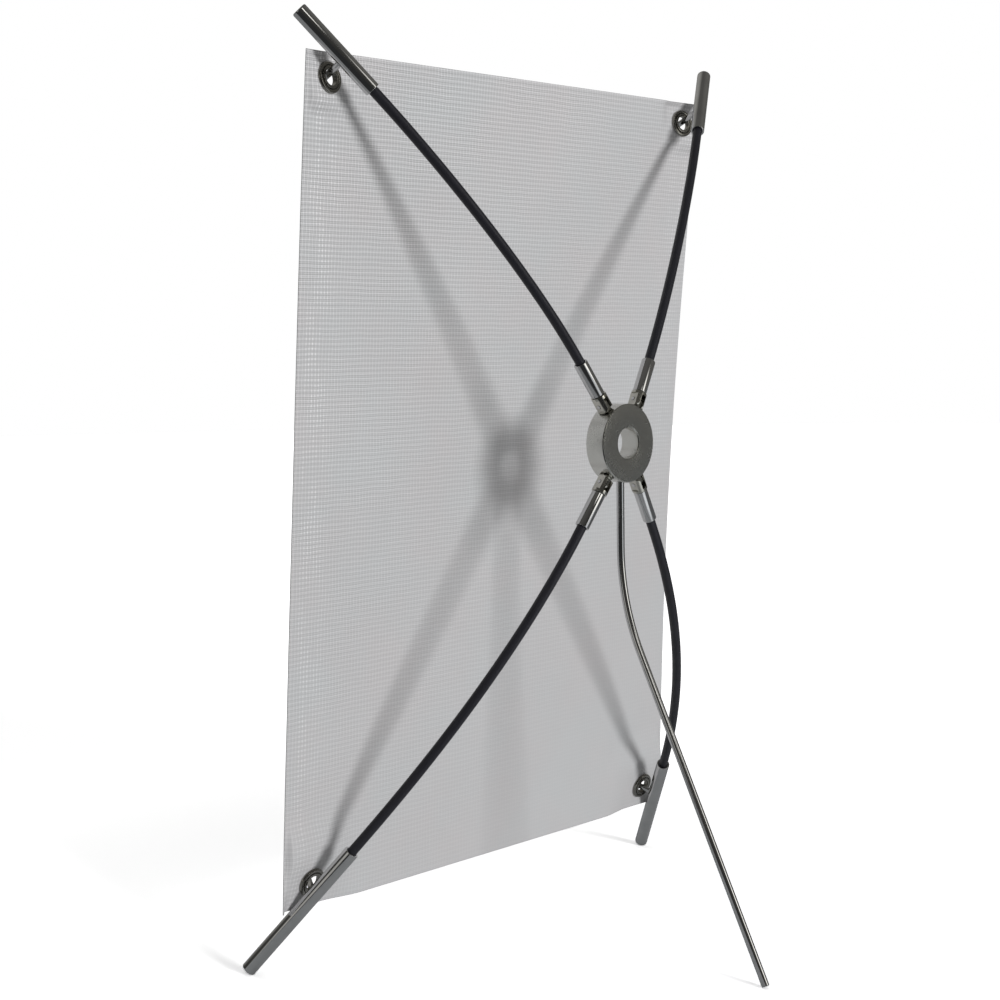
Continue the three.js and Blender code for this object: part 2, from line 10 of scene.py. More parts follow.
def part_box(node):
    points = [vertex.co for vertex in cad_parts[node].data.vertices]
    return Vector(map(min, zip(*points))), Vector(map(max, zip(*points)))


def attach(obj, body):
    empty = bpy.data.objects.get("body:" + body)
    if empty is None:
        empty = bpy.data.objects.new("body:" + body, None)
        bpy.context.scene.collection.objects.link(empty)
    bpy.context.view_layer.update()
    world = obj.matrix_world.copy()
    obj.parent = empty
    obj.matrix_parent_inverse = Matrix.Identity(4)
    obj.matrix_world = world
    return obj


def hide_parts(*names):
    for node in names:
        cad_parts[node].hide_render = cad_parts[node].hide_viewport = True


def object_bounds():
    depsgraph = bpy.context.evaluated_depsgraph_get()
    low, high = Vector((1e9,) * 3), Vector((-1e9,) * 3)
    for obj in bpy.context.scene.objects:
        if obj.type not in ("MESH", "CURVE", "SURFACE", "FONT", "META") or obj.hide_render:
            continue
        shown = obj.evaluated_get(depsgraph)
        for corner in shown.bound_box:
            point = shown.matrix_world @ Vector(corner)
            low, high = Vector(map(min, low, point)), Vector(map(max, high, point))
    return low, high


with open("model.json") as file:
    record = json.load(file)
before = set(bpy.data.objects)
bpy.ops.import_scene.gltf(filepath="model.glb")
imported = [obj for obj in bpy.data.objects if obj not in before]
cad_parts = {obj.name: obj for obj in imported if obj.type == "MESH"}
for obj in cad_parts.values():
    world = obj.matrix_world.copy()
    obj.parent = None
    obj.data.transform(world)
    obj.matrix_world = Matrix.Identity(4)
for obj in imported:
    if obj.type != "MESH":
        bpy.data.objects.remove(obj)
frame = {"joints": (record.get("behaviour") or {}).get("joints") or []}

cad_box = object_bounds()

bl_info = {
    "name": "Table-top X banner stand",
    "version": (1, 0, 0),
    "blender": (4, 5, 0),
    "location": "View3D > Sidebar > Banner stand",
    "description": "Builds a small X banner stand with its hub, arms, banner, eyelets and rear leg",
    "category": "Add Mesh",
}

MM = 0.001
FULL_TURN = 2 * math.pi
QUARTER_TURN = Matrix.Rotation(math.pi / 2, 4, "Z")

# The four arms, as seen by someone who faces the banner: left is -X
CORNERS = ("upper_left", "upper_right", "lower_left", "lower_right")

# Places taken from the frame
hub_low, hub_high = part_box("hub_ring")
HUB_CENTRE = (hub_low + hub_high) / 2
HUB_DIAMETER = hub_high.x - hub_low.x
HUB_THICKNESS = hub_high.y - hub_low.y
JOINTS = {joint["name"]: joint for joint in frame["joints"]}
REARWARD = Vector((0, 1, 0))
DOWN = Vector((0, 0, -1))
BANNER_NORMAL = -Vector(JOINTS["take_off_banner"]["axis"]).normalized()
GROUND = cad_box[0][2]


def length_prop(name, description, millimetres):
    """A size in metres, written here in millimetres."""
    return bpy.props.FloatProperty(
        name=name, description=description, default=millimetres * MM, precision=5, unit="LENGTH"
    )


def angle_prop(name, description, degrees):
    """An angle in radians, written here in degrees."""
    return bpy.props.FloatProperty(
        name=name, description=description, default=math.radians(degrees), subtype="ANGLE"
    )


def colour_prop(name, description, red, green, blue):
    """A linear colour."""
    return bpy.props.FloatVectorProperty(
        name=name,
        description=description,
        default=(red, green, blue),
        size=3,
        min=0,
        max=1,
        subtype="COLOR",
    )


class StandHubSizes(bpy.types.PropertyGroup):
    """Sizes of the hub ring and of the hinges on its rim."""

    bore: length_prop("Bore", "Diameter of the hole through the hub", 16)
    chamfer: length_prop("Chamfer", "Width of the chamfers on the ring", 0.5)
    socket_clearance: length_prop("Socket clearance", "Gap around a lug or leg in its socket", 0.3)
    plug_diameter: length_prop("Lug plug", "Diameter of a hinge lug's plug in the hub", 6)
    plug_length: length_prop("Lug depth", "How deep a hinge lug sits in the hub", 7.4)
    tongue_thickness: length_prop("Tongue thickness", "Thickness of a hinge lug's tongue", 2.6)
    tongue_height: length_prop("Tongue height", "Height of a hinge lug's tongue", 5.4)
    pin_diameter: length_prop("Hinge pin", "Diameter of a hinge pin", 2)
    pin_proud: length_prop("Hinge pin proud", "How far a hinge pin stands out of its fork", 0.2)


class StandArmSizes(bpy.types.PropertyGroup):
    """Sizes of the knuckles, sleeves, rods and tubes."""

    knuckle_diameter: length_prop("Knuckle", "Diameter of a knuckle", 8.2)
    across_flats: length_prop("Across flats", "Width of a knuckle over its two flats", 6.8)
    flat_length: length_prop("Flat length", "How far the flats reach out from the pivot", 3.6)
    collar_end: length_prop("Collar end", "Distance from the pivot to the end of the collar", 5.1)
    shank_diameter: length_prop("Shank", "Diameter of a knuckle's shank inside the sleeve", 5)
    shank_length: length_prop("Shank length", "Length of a knuckle's shank", 6)
    slot_floor_gap: length_prop("Slot floor gap", "Gap between the tongue and the slot's floor", 0.6)
    seat_gap: length_prop("Seat gap", "Gap between touching pieces", 0.3)
    ferrule_diameter: length_prop("Sleeve", "Diameter of a sleeve", 7.2)
    ferrule_length: length_prop("Sleeve length", "Length of a sleeve", 19.3)
    rod_diameter: length_prop("Rod", "Diameter of a rod", 5)
    rod_in_tube: length_prop("Rod in tube", "How far a rod goes into its end tube", 13.5)
    tube_diameter: length_prop("End tube", "Diameter of the tube at the end of a rod", 7.6)
    tube_end_wall: length_prop("Tube end wall", "Thickness of a tube's closed end", 1.6)
    tube_end_rounding: length_prop("Tube end rounding", "Radius of the tube's closed end", 0.9)
    lip_rounding: length_prop("Lip rounding", "Radius of the turned pieces' edges", 0.3)
    hook_pin_diameter: length_prop("Hook pin", "Diameter of a hook pin", 3.2)
    hook_pin_rounding: length_prop("Hook pin rounding", "Radius of a hook pin's free end", 1)
    hook_pin_proud: length_prop("Hook pin proud", "How far a hook pin stands beyond the sheet", 4.5)
    forward_angle: angle_prop("Forward angle", "How far the arms lean forward of the hub", 6.5)


class StandBannerSizes(bpy.types.PropertyGroup):
    """Sizes of the banner and its eyelets."""

    width: length_prop("Width", "Width that the banner was cut to", 297)
    height: length_prop("Height", "Height that the banner was cut to", 420)
    thickness: length_prop("Thickness", "Thickness of the banner", 0.5)
    forward_of_hub: length_prop("Forward of hub", "From the hub to the banner's foot, level", 95.5)
    below_hub: length_prop("Below hub", "From the hub down to the banner's foot", 230.3)
    bow: length_prop("Bow", "How far the middle of the banner bows forward", 2.5)
    extra_bow: length_prop("Extra bow", "How much further the slack fabric bows than the plain bow", 1.4)
    side_draw: length_prop("Side draw", "How far each side edge draws in at mid height", 2.4)
    pad_margin: length_prop("Pad margin", "Flat zone of the sheet past an eyelet's rim", 0.5)
    ripple: length_prop("Ripple", "Height of the sheet's faint waves", 0.25)
    ripple_fade: length_prop("Ripple fade", "Distance from the edges over which the waves grow", 30)
    eyelet_diameter: length_prop("Eyelet", "Outer diameter of an eyelet", 15.4)
    eyelet_hole: length_prop("Eyelet hole", "Diameter of an eyelet's hole", 8)
    barrel_wall: length_prop("Barrel wall", "Wall of an eyelet's barrel", 0.6)
    flange: length_prop("Flange", "Thickness of an eyelet's flange", 0.6)
    lip_width: length_prop("Lip width", "Width of an eyelet's rolled lip", 1.5)
    washer: length_prop("Washer", "Thickness of an eyelet's washer", 0.6)
    washer_dome: length_prop("Washer dome", "Height of the washer's dome", 0.7)
    thread_rise: length_prop("Thread pitch up", "Spacing of the scrim's level threads", 2.48)
    thread_run: length_prop("Thread pitch across", "Spacing of the scrim's upright threads", 2.1)


class StandLegSizes(bpy.types.PropertyGroup):
    """Sizes of the rear leg."""

    diameter: length_prop("Diameter", "Diameter of the rear leg", 4)
    in_hub: length_prop("In hub", "How far the leg goes into the hub", 8.6)
    bend_below_hub: length_prop("Bend below hub", "From the hub's centre down to the bend", 81.4)
    bend_radius: length_prop("Bend radius", "Radius of the leg's bend", 120)
    slope: angle_prop("Slope", "Angle of the leg's lower part from upright", 26.4)


class StandColours(bpy.types.PropertyGroup):
    """Colours of the finishes."""

    banner: colour_prop("Banner", "Back of the coated scrim", 0.56, 0.56, 0.565)
    banner_face: colour_prop("Banner face", "Coated face of the banner", 0.8, 0.8, 0.8)
    rod: colour_prop("Rod", "Black glass-fibre rod", 0.014, 0.014, 0.018)
    plating: colour_prop("Plating", "Bright plating of the tubes, sleeves and leg", 0.58, 0.58, 0.58)
    hub: colour_prop("Hub", "Turned steel of the hub", 0.6, 0.598, 0.565)
    knuckle: colour_prop("Knuckle", "Milled steel of the knuckles", 0.55, 0.54, 0.49)
    eyelet: colour_prop("Eyelet", "Plated eyelets", 0.31, 0.3, 0.275)
    floor: colour_prop("Floor", "Pale floor", 0.7, 0.7, 0.7)


# How the upper and the lower arms meet the banner. The eyelet's place counts from the banner's side and
# end, the tube's axis from the eyelet, and its direction is an angle from level and a dip forward. The
# eyelet's back leans towards its end of the banner, turned inward. The sheet keeps that tilt some way
# towards its edges, and the tilt fades out over a distance of its own towards the edges and the middle.
ARM_MILLIMETRES = {
    "eyelet_from_side": (14.3, 17.9),
    "eyelet_from_end": (12, 13.5),
    "tilt_to_side": (8.2, 13.9),
    "tilt_to_end": (8.2, 20),
    "edge_fade": (6.1, 4),
    "inner_fade": (10, 26),
    "tube_outboard": (1.3, 4.5),
    "tube_behind": (12.1, 7.6),
    "tube_beyond": (8.2, 4),
    "mouth_to_pin": (19.2, 29.7),
    "pin_to_tip": (30.3, 52.6),
    "pull_at_root": (47.3, 54.7),
    "pull_at_tip": (50.7, 82.5),
}
ARM_DEGREES = {
    "eyelet_tilt": (14, 14),
    "tilt_inward": (36, 0),
    "tube_rise": (49.5, 63.6),
    "tube_dip": (24.1, 28.2),
}
ARM_KINDS = {"upper": {"up": 1, "tube": "tip_tube"}, "lower": {"up": -1, "tube": "foot_tube"}}
for column, arm_values in enumerate(ARM_KINDS.values()):
    arm_values.update({name: pair[column] * MM for name, pair in ARM_MILLIMETRES.items()})
    arm_values.update({name: math.radians(pair[column]) for name, pair in ARM_DEGREES.items()})

# Fineness of the meshes
RING_STEPS = 128
SLEEVE_STEPS = 64
PIN_STEPS = 40
ROD_SIDES = 32
ROD_STEPS = 72
LEG_STEPS = 90
FILLET_STEPS = 4
SHEET_COLUMNS = 136
SHEET_ROWS = 176
SHEET_CROWDING = 0.36
BEARING_ROUNDS = 6
FLOOR_SIDES = 96
# How near to each other a mesh's points are joined, after turning and after cutting
TURNED_WELD = MM / 1000
CUT_WELD = MM / 500
SMOOTH_ANGLE = math.radians(35)
# How much of a side a rounding may take, and where the rings of a bar's rounded end lie on its quarter turn
ROUNDING_SHARE = 0.49
END_SHARES = (0, 0.35, 0.7, 1)
# How much wider than the others the block beyond the pivot is
OVERRUN_SHARE = 1.1
# The slack fabric grows with this power towards mid height, and waves over this many radians, from a start
SLACK_POWER = 1.5
WAVE_ACROSS = (9, 1.3)
WAVE_UP = (11, 0.4)
# An eyelet's rolled edges, as a share of its flange
ROLL_SHARE = 0.48
# The washer's roundings at its lower edge, upper edge, crest and inner foot, and half its crest's width
WASHER_ROUNDINGS = (0.1 * MM, 0.3 * MM, 0.6 * MM, 0.2 * MM)
WASHER_CREST = 0.7 * MM
# How the hub's chamfers and the leg's end are rounded, as shares of the chamfer and of the leg
CHAMFER_SOFTNESS = 0.25
LEG_END_SHARE = 0.125


def sizes(name):
    """One of the property groups on the scene."""
    return getattr(bpy.context.scene, name)


def arm_kind(corner):
    return ARM_KINDS[corner.split("_")[0]]


def arm_side(corner):
    return -1 if corner.endswith("left") else 1


def smooth_step(value, low, high):
    share = min(max((value - low) / (high - low), 0), 1)
    return share * share * (3 - 2 * share)


def crowded(share):
    """Moves an even share of a length, from -0.5 to 0.5, so that shares crowd towards both ends."""
    return share * (1 + SHEET_CROWDING - 4 * SHEET_CROWDING * share * share)


# Places and directions


def frame_at(origin, x, y, z):
    """A frame at origin with these axes."""
    return Matrix.Translation(origin) @ Matrix((x, y, z)).transposed().to_4x4()


def axes_matrix(origin, along, square):
    """A frame at origin with X along one direction and Z along another, square to it."""
    x = along.normalized()
    z = (square - x * square.dot(x)).normalized()
    return frame_at(origin, x, z.cross(x), z)


def banner_matrix():
    """The banner's own frame: X across, Y to the rear, Z up the sheet, from the middle of its foot."""
    banner = sizes("stand_banner")
    foot = HUB_CENTRE - REARWARD * banner.forward_of_hub + DOWN * banner.below_hub
    x = Vector((1, 0, 0))
    return frame_at(foot, x, BANNER_NORMAL, x.cross(BANNER_NORMAL))


def main_bow(z):
    banner = sizes("stand_banner")
    share = 2 * z / banner.height - 1
    return -banner.bow * (1 - share * share)


def eyelet_lean(corner):
    """The way an eyelet's back leans, in the banner's frame."""
    kind = arm_kind(corner)
    inward = kind["tilt_inward"]
    return Vector((-arm_side(corner) * math.sin(inward), 0, kind["up"] * math.cos(inward)))


def eyelet_place(corner):
    """The eyelet's centre, its tilted normal and its outward direction, all in the banner's frame."""
    banner = sizes("stand_banner")
    kind = arm_kind(corner)
    side, up = arm_side(corner), kind["up"]
    x = side * (banner.width / 2 - kind["eyelet_from_side"])
    z = kind["eyelet_from_end"] if up < 0 else banner.height - kind["eyelet_from_end"]
    tilt = kind["eyelet_tilt"]
    normal = REARWARD * math.cos(tilt) + eyelet_lean(corner) * math.sin(tilt)
    flat_out = Vector((side * math.cos(kind["tube_rise"]), 0, up * math.sin(kind["tube_rise"])))
    out = (flat_out - normal * flat_out.dot(normal)).normalized()
    return Vector((x, main_bow(z), z)), normal, out


def tilt_left(dx, dz, corner):
    """How much of an eyelet's tilt the sheet still has at a distance across and up from the eyelet."""
    banner = sizes("stand_banner")
    kind = arm_kind(corner)
    pad = banner.eyelet_diameter / 2 + banner.pad_margin
    past = []
    for outward, reach in (
        (dx * arm_side(corner), kind["tilt_to_side"]),
        (dz * kind["up"], kind["tilt_to_end"]),
    ):
        if outward > 0:
            past.append(max(outward - reach, 0) / kind["edge_fade"])
        else:
            past.append(max(-outward - pad, 0) / kind["inner_fade"])
    return 1 - smooth_step(math.hypot(*past), 0, 1)


def sheet_depth(x, z, eyelets):
    """How far the sheet stands rearward of its flat plane. Each eyelet is given as its centre and lean."""
    bowed = main_bow(z)
    depth = bowed
    for corner, (centre, lean) in eyelets.items():
        dx, dz = x - centre.x, z - centre.z
        tilted = centre.y - math.tan(arm_kind(corner)["eyelet_tilt"]) * (dx * lean.x + dz * lean.z)
        depth += (tilted - bowed) * tilt_left(dx, dz, corner)
    return depth


def slack_share(z):
    """How slack the fabric is: nothing along its top and foot, most at mid height."""
    share = 2 * z / sizes("stand_banner").height - 1
    return (1 - share * share) ** SLACK_POWER


def eyelet_levels():
    """Levels through an eyelet, rearward from the middle of the sheet: the flange's front and its other
    face, the washer's seat and top, the rolled lip's seat and top."""
    banner, gap = sizes("stand_banner"), sizes("stand_arm").seat_gap
    seat = banner.thickness / 2 + gap
    top = seat + banner.washer
    lip = top + gap
    return -seat - banner.flange, -seat, seat, top, lip, lip + banner.flange


def tube_place(corner):
    """The end tube's direction, and its hook pin's root, direction and length, in the shared frame."""
    banner, arm = sizes("stand_banner"), sizes("stand_arm")
    kind, side = arm_kind(corner), arm_side(corner)
    centre, normal, out = eyelet_place(corner)
    rise, dip = kind["tube_rise"], kind["tube_dip"]
    along = Vector((side * math.cos(rise), 0, kind["up"] * math.sin(rise))) * math.cos(dip)
    along.y = -math.sin(dip)
    beyond = kind["up"] * kind["tube_beyond"]
    on_axis = centre + Vector((side * kind["tube_outboard"], kind["tube_behind"], beyond))
    front, *_, lip_top = eyelet_levels()
    reach = max(lip_top, -front) - banner.flange / 2
    slant = 0.0
    for _ in range(BEARING_ROUNDS):
        play = banner.eyelet_hole / 2 - arm.seat_gap - arm.hook_pin_diameter / 2 / math.cos(slant)
        bearing = centre + out * (play - reach * math.tan(slant))
        root = on_axis + along * (bearing - on_axis).dot(along)
        pin = bearing - root
        slant = math.pi - pin.angle(normal)
    length = pin.length + arm.hook_pin_proud / math.cos(pin.angle(-REARWARD))
    place = banner_matrix()
    turn = place.to_3x3()
    return turn @ along, place @ root, (turn @ pin).normalized(), length


def arm_root(corner):
    """The arm's pivot, and the way out of the hub to it."""
    pivot = Vector(JOINTS["fold_" + corner]["pos_m"])
    return pivot, (pivot - HUB_CENTRE).normalized()


def arm_place(corner):
    """The arm's own frame at its pivot, with X along the arm."""
    pivot, radial = arm_root(corner)
    turn = Matrix.Rotation(sizes("stand_arm").forward_angle, 3, REARWARD.cross(radial))
    return axes_matrix(pivot, turn @ radial, turn @ REARWARD)


# Mesh tools


def filleted(corners):
    """An outline's points from its corners, each (along, radius) or (along, radius, rounding)."""
    points = []
    for index, (along, radius, *rounding) in enumerate(corners):
        here = Vector((along, radius))
        if not any(rounding):
            points.append(here)
            continue
        before = Vector(corners[index - 1][:2]) - here
        after = Vector(corners[(index + 1) % len(corners)][:2]) - here
        most = min(before.length, after.length) * ROUNDING_SHARE
        reach = min(rounding[0] / math.tan(before.angle(after) / 2), most)
        start, end = here + before.normalized() * reach, here + after.normalized() * reach
        for step in range(FILLET_STEPS + 1):
            share = step / FILLET_STEPS
            points.append(start.lerp(here, share).lerp(here.lerp(end, share), share))
    return points


def lathe(corners, steps):
    """A turned solid about X. Its outline starts and ends on the axis, or else closes on itself."""
    bm = bmesh.new()
    verts = [bm.verts.new((point.x, point.y, 0)) for point in filleted(corners)]
    edges = [bm.edges.new(pair) for pair in zip(verts, verts[1:])]
    if corners[0][1]:
        edges.append(bm.edges.new((verts[-1], verts[0])))
    axis = {"cent": (0, 0, 0), "axis": (1, 0, 0), "angle": FULL_TURN}
    bmesh.ops.spin(bm, geom=verts + edges, steps=steps, use_merge=True, use_duplicate=False, **axis)
    bmesh.ops.remove_doubles(bm, verts=bm.verts, dist=TURNED_WELD)
    bmesh.ops.recalc_face_normals(bm, faces=bm.faces)
    return bm


def rod_between(low, high, radius, steps, low_rounding=0, high_rounding=0):
    """A round bar along X."""
    return lathe([(low, 0), (low, radius, low_rounding), (high, radius, high_rounding), (high, 0)], steps)


def moved(bm, matrix):
    """A mesh after a move or a turn."""
    bmesh.ops.transform(bm, matrix=matrix, verts=bm.verts)
    return bm


def cross_bar(radius, half, steps):
    """A plain round bar along Y, through the origin."""
    return moved(rod_between(-half, half, radius, steps), QUARTER_TURN)


def mean_depth(bm):
    return sum(vert.co.y for vert in bm.verts) / len(bm.verts)


def block(low, high):
    """A block between its lowest and highest corners."""
    low, high = Vector(low), Vector(high)
    bm = bmesh.new()
    size = Matrix.Diagonal((*(high - low), 1))
    bmesh.ops.create_cube(bm, size=1, matrix=Matrix.Translation((low + high) / 2) @ size)
    return bm


def new_object(name, bm):
    """An object in the scene from a mesh, which is used up."""
    mesh = bpy.data.meshes.new(name)
    bm.to_mesh(mesh)
    bm.free()
    made = bpy.data.objects.new(name, mesh)
    bpy.context.scene.collection.objects.link(made)
    return made


def combined(bm, other, operation):
    """The union, difference or intersection of two meshes, which are both used up."""
    base, tool = new_object("base", bm), new_object("tool", other)
    modifier = base.modifiers.new("cut", "BOOLEAN")
    modifier.object = tool
    modifier.operation = operation
    modifier.solver = "EXACT"
    made = base.evaluated_get(bpy.context.evaluated_depsgraph_get()).to_mesh()
    result = bmesh.new()
    result.from_mesh(made)
    for piece in (base, tool):
        mesh = piece.data
        bpy.data.objects.remove(piece)
        bpy.data.meshes.remove(mesh)
    bmesh.ops.remove_doubles(result, verts=result.verts, dist=CUT_WELD)
    bmesh.ops.dissolve_degenerate(result, edges=result.edges, dist=CUT_WELD)
    return result


def sweep(points, radius, sides, end_rounding):
    """A round bar along a path, with a UV map that runs around it and along it in metres."""
    stations = []
    travelled = 0.0
    tangent = points[1] - points[0]
    normal = tangent.orthogonal().normalized()
    for before, point, after in zip([points[0], *points], points, [*points[1:], points[-1]]):
        turned = (after - before).normalized()
        if stations:
            normal = tangent.rotation_difference(turned) @ normal
        tangent = turned
        travelled += (point - before).length
        stations.append((point, tangent, normal, radius, travelled))
    stations.pop()
    for share in END_SHARES:
        turn = share * math.pi / 2
        size = radius - end_rounding * (1 - math.cos(turn))
        back = end_rounding * (1 - math.sin(turn))
        stations.append((point - tangent * back, tangent, normal, size, travelled - back))
    bm = bmesh.new()
    uv = bm.loops.layers.uv.new("UVMap")
    girth = FULL_TURN * radius
    shares = [index / sides - 0.5 for index in range(sides + 1)]
    angles = [share * FULL_TURN for share in shares[:-1]]
    rim = [Vector((math.cos(angle), math.sin(angle), 0)) for angle in angles]
    rings = []
    for point, tangent, normal, size, travelled in stations:
        matrix = frame_at(point, normal, tangent.cross(normal), tangent) @ Matrix.Scale(size, 4)
        ring = [bm.verts.new(matrix @ place) for place in rim]
        rings.append(([*ring, ring[0]], travelled))
    for (low, low_travel), (high, high_travel) in zip(rings, rings[1:]):
        for index in range(sides):
            face = bm.faces.new((low[index], low[index + 1], high[index + 1], high[index]))
            start, end = shares[index] * girth, shares[index + 1] * girth
            map_corners = ((start, low_travel), (end, low_travel), (end, high_travel), (start, high_travel))
            for loop, map_corner in zip(face.loops, map_corners):
                loop[uv].uv = map_corner
    for ring, _ in (rings[0], rings[-1]):
        bm.faces.new(ring[:-1])
    bmesh.ops.recalc_face_normals(bm, faces=bm.faces)
    return bm


def bezier(start, pull_start, pull_end, end, steps):
    points = []
    for step in range(steps + 1):
        t = step / steps
        s = 1 - t
        points.append(start * s**3 + pull_start * 3 * s * s * t + pull_end * 3 * s * t * t + end * t**3)
    return points


# What each slot is finished with, and how its pieces' names end
SLOTS = {
    "hub_steel": ("turned hub steel", "turned"),
    "knuckle_steel": ("milled knuckle steel", "milled"),
    "chrome": ("bright plating", "plated"),
    "nickel": ("plated eyelet", "plated"),
    "glass_fibre": ("black glass-fibre rod", "fibre"),
    "scrim_vinyl": ("scrim banner back", "scrim"),
}


def finish_piece(bm, node, body, slot, matrix=None, name=None):
    """Makes a shown piece from a mesh, in place, riding on its body and standing for its CAD node."""
    finish, ending = SLOTS[slot]
    if matrix is not None:
        moved(bm, matrix)
    for face in bm.faces:
        face.smooth = True
    for edge in bm.edges:
        edge.smooth = len(edge.link_faces) != 2 or edge.calc_face_angle(0) < SMOOTH_ANGLE
    piece = new_object(name or f"{node}_{ending}", bm)
    piece.data.materials.append(finish_of(finish))
    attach(piece, body)
    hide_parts(node)
    return piece


# Materials

# Plain handled metals: their colour, roughness, smudges, darkening, and the height of their relief
METALS = {
    "bright plating": ("plating", 0.07, 0.1, 0.15, 0.008 * MM),
    "milled knuckle steel": ("knuckle", 0.1, 0.12, 0.25, 0.01 * MM),
    "plated eyelet": ("eyelet", 0.16, 0.12, 0.25, 0.012 * MM),
}
# Each noise's scale, detail and roughness
NOISES = {
    "smudges": (90, 4, 0.6),
    "scratches": (900, 3, 0.55),
    "pits": (2600, 2, 0.5),
    "dust": (140, 4, 0.6),
    "sway": (60, 2, 0.5),
    "patches": (30, 3, 0.6),
    "coat": (1500, 3, 0.6),
    "tone_and_painted_top_light": (9, 4, 0.55),
    "drift": (14, 3, 0.6),
    "streaks": (1, 3, 0.6),
}
# The scales of streaks, across and along
FIBRES = (5200, 90)
LEVEL_STREAKS = (40, 420)
UPRIGHT_STREAKS = (480, 40)
SPECK_STREAKS = (160, 30)
METAL_RELIEF = 0.25
LEAST_ROUGHNESS = 0.03
# The hub's roughness, smudges and darkening, and the scale, strength and height of its tool rings
HUB_SURFACE = (0.24, 0.05, 0.08)
TOOL_RINGS = (5200, 0.15, 0.006 * MM)
# The scrim: how far its threads sway, the pitches of its fine threads upward and across, and how strong
# they and the upright threads are beside the level ones
THREAD_SWAY = 1.1 * MM
FINE_PITCHES = (0.98 * MM, 1.05 * MM)
UPRIGHT_SHARE = 0.7
FINE_SHARE = 0.125
COAT_SHARE = 0.25
# How clear the threads are over the sheet: the side's part in it, and the share where it starts and ends
CLEAR_SLANT = 0.37
CLEAR_RANGE = (-0.05, 1.18, 0.12, 1.35)
# From the threads' height to their shade, and the shade around which that varies
COARSE_SHADE = (0, 1.9, -0.088, 0.172)
MEAN_SHADE = 0.923
# The band of specks along a side edge: where it fades in and out, counted from the edge
BAND_IN = (4 * MM, 7 * MM, 0, 1)
BAND_OUT = (12 * MM, 26 * MM, 1, 0)
# The faint warm and cool cast that drifts over the sheet
CASTS = ((1.012, 0.992, 0.995), (0.99, 1.004, 1.01))


class Signal:
    """A node's output. Arithmetic with it, or with a plain number, makes math nodes."""

    def __init__(self, node, output=0):
        self.tree = node.id_data
        self.socket = node.outputs[output]

    def reckon(self, operation, *others):
        node = add_node(self.tree, "Math", dict(enumerate((self, *others))), operation=operation)
        return Signal(node)

    def __add__(self, other):
        return self.reckon("ADD", other)

    def __sub__(self, other):
        return self.reckon("SUBTRACT", other)

    def __mul__(self, other):
        return self.reckon("MULTIPLY", other)

    def __truediv__(self, other):
        return self.reckon("DIVIDE", other)

    def mapped(self, low, high, to_low=0, to_high=1):
        """The same signal moved from one range to another, and held inside it."""
        limits = {"Value": self, "From Min": low, "From Max": high, "To Min": to_low, "To Max": to_high}
        return Signal(add_node(self.tree, "MapRange", limits, clamp=True), "Result")


def feed(node, inputs):
    """Links a node's inputs to signals, or gives them plain values."""
    for name, value in inputs.items():
        if isinstance(value, Signal):
            node.id_data.links.new(value.socket, node.inputs[name])
        else:
            node.inputs[name].default_value = value


def add_node(tree, kind, inputs=None, **settings):
    """A shader node with its settings and its inputs."""
    node = tree.nodes.new("ShaderNode" + kind)
    for name, value in settings.items():
        setattr(node, name, value)
    feed(node, inputs or {})
    return node


def vector_math(operation, output, *vectors):
    node = add_node(vectors[0].tree, "VectorMath", dict(enumerate(vectors)), operation=operation)
    return Signal(node, output)


def ramp(vector, direction, *limits):
    """Rises or falls as a vector reaches further along a direction, between limits as in mapped."""
    return vector_math("DOT_PRODUCT", "Value", vector, direction).mapped(*limits)


def noise(vector, name):
    scale, detail, rough = NOISES[name]
    inputs = {"Vector": vector, "Scale": scale, "Detail": detail, "Roughness": rough}
    return Signal(add_node(vector.tree, "TexNoise", inputs), "Fac")


def stretched(vector, x, y, z):
    return Signal(add_node(vector.tree, "Mapping", {"Vector": vector, "Scale": (x, y, z)}), "Vector")


def streaks(vector, scales):
    """Noise with its own scale in each direction."""
    return noise(stretched(vector, *scales, 1), "streaks")


def mixed(tree, kind, factor, first, second, **settings):
    inputs = {"Factor": factor, "A": first, "B": second}
    return Signal(add_node(tree, "Mix", inputs, data_type=kind, **settings), "Result")


def tinted(colour, shade):
    """A colour, or a signal of one, multiplied by a mask that changes over the surface."""
    return mixed(shade.tree, "RGBA", 1, colour, shade, blend_type="MULTIPLY")


def bump(height, strength, distance):
    inputs = {"Height": height, "Strength": strength, "Distance": distance}
    return Signal(add_node(height.tree, "Bump", inputs), "Normal")


def new_group(name, inputs, outputs):
    """A shader node group, the signals of its inputs, and the node that takes its outputs."""
    group = bpy.data.node_groups.new(name, "ShaderNodeTree")
    for in_out, labels in (("INPUT", inputs), ("OUTPUT", outputs)):
        for label in labels:
            kind = "NodeSocketVector" if label == "Vector" else "NodeSocketFloat"
            group.interface.new_socket(label, in_out=in_out, socket_type=kind)
    entry = group.nodes.new("NodeGroupInput")
    leave = group.nodes.new("NodeGroupOutput")
    return group, [Signal(entry, label) for label in inputs], leave


def start_material(name):
    """A new material's shader node and its texture coordinates."""
    material = bpy.data.materials.new(name)
    material.use_nodes = True
    return material.node_tree.nodes["Principled BSDF"], add_node(material.node_tree, "TexCoord")


def handled_metal_group():
    """Smudges, fine scratches and pits of handled plated metal."""
    group, (vector, base, smudge, darkening), leave = new_group(
        "handled metal",
        ("Vector", "Base Roughness", "Smudge", "Darkening"),
        ("Roughness", "Shade", "Height"),
    )
    smudges = noise(vector, "smudges")
    scratches = noise(vector, "scratches")
    rough = base + smudges.mapped(0.42, 0.68) * smudge + (scratches - 0.5) * 0.08
    feed(leave, {
        "Roughness": rough.reckon("MAXIMUM", LEAST_ROUGHNESS),
        "Shade": smudges.mapped(0.35, 0.75) * darkening * -1 + 1,
        "Height": scratches * 0.6 + noise(vector, "pits") * 0.4,
    })
    return group


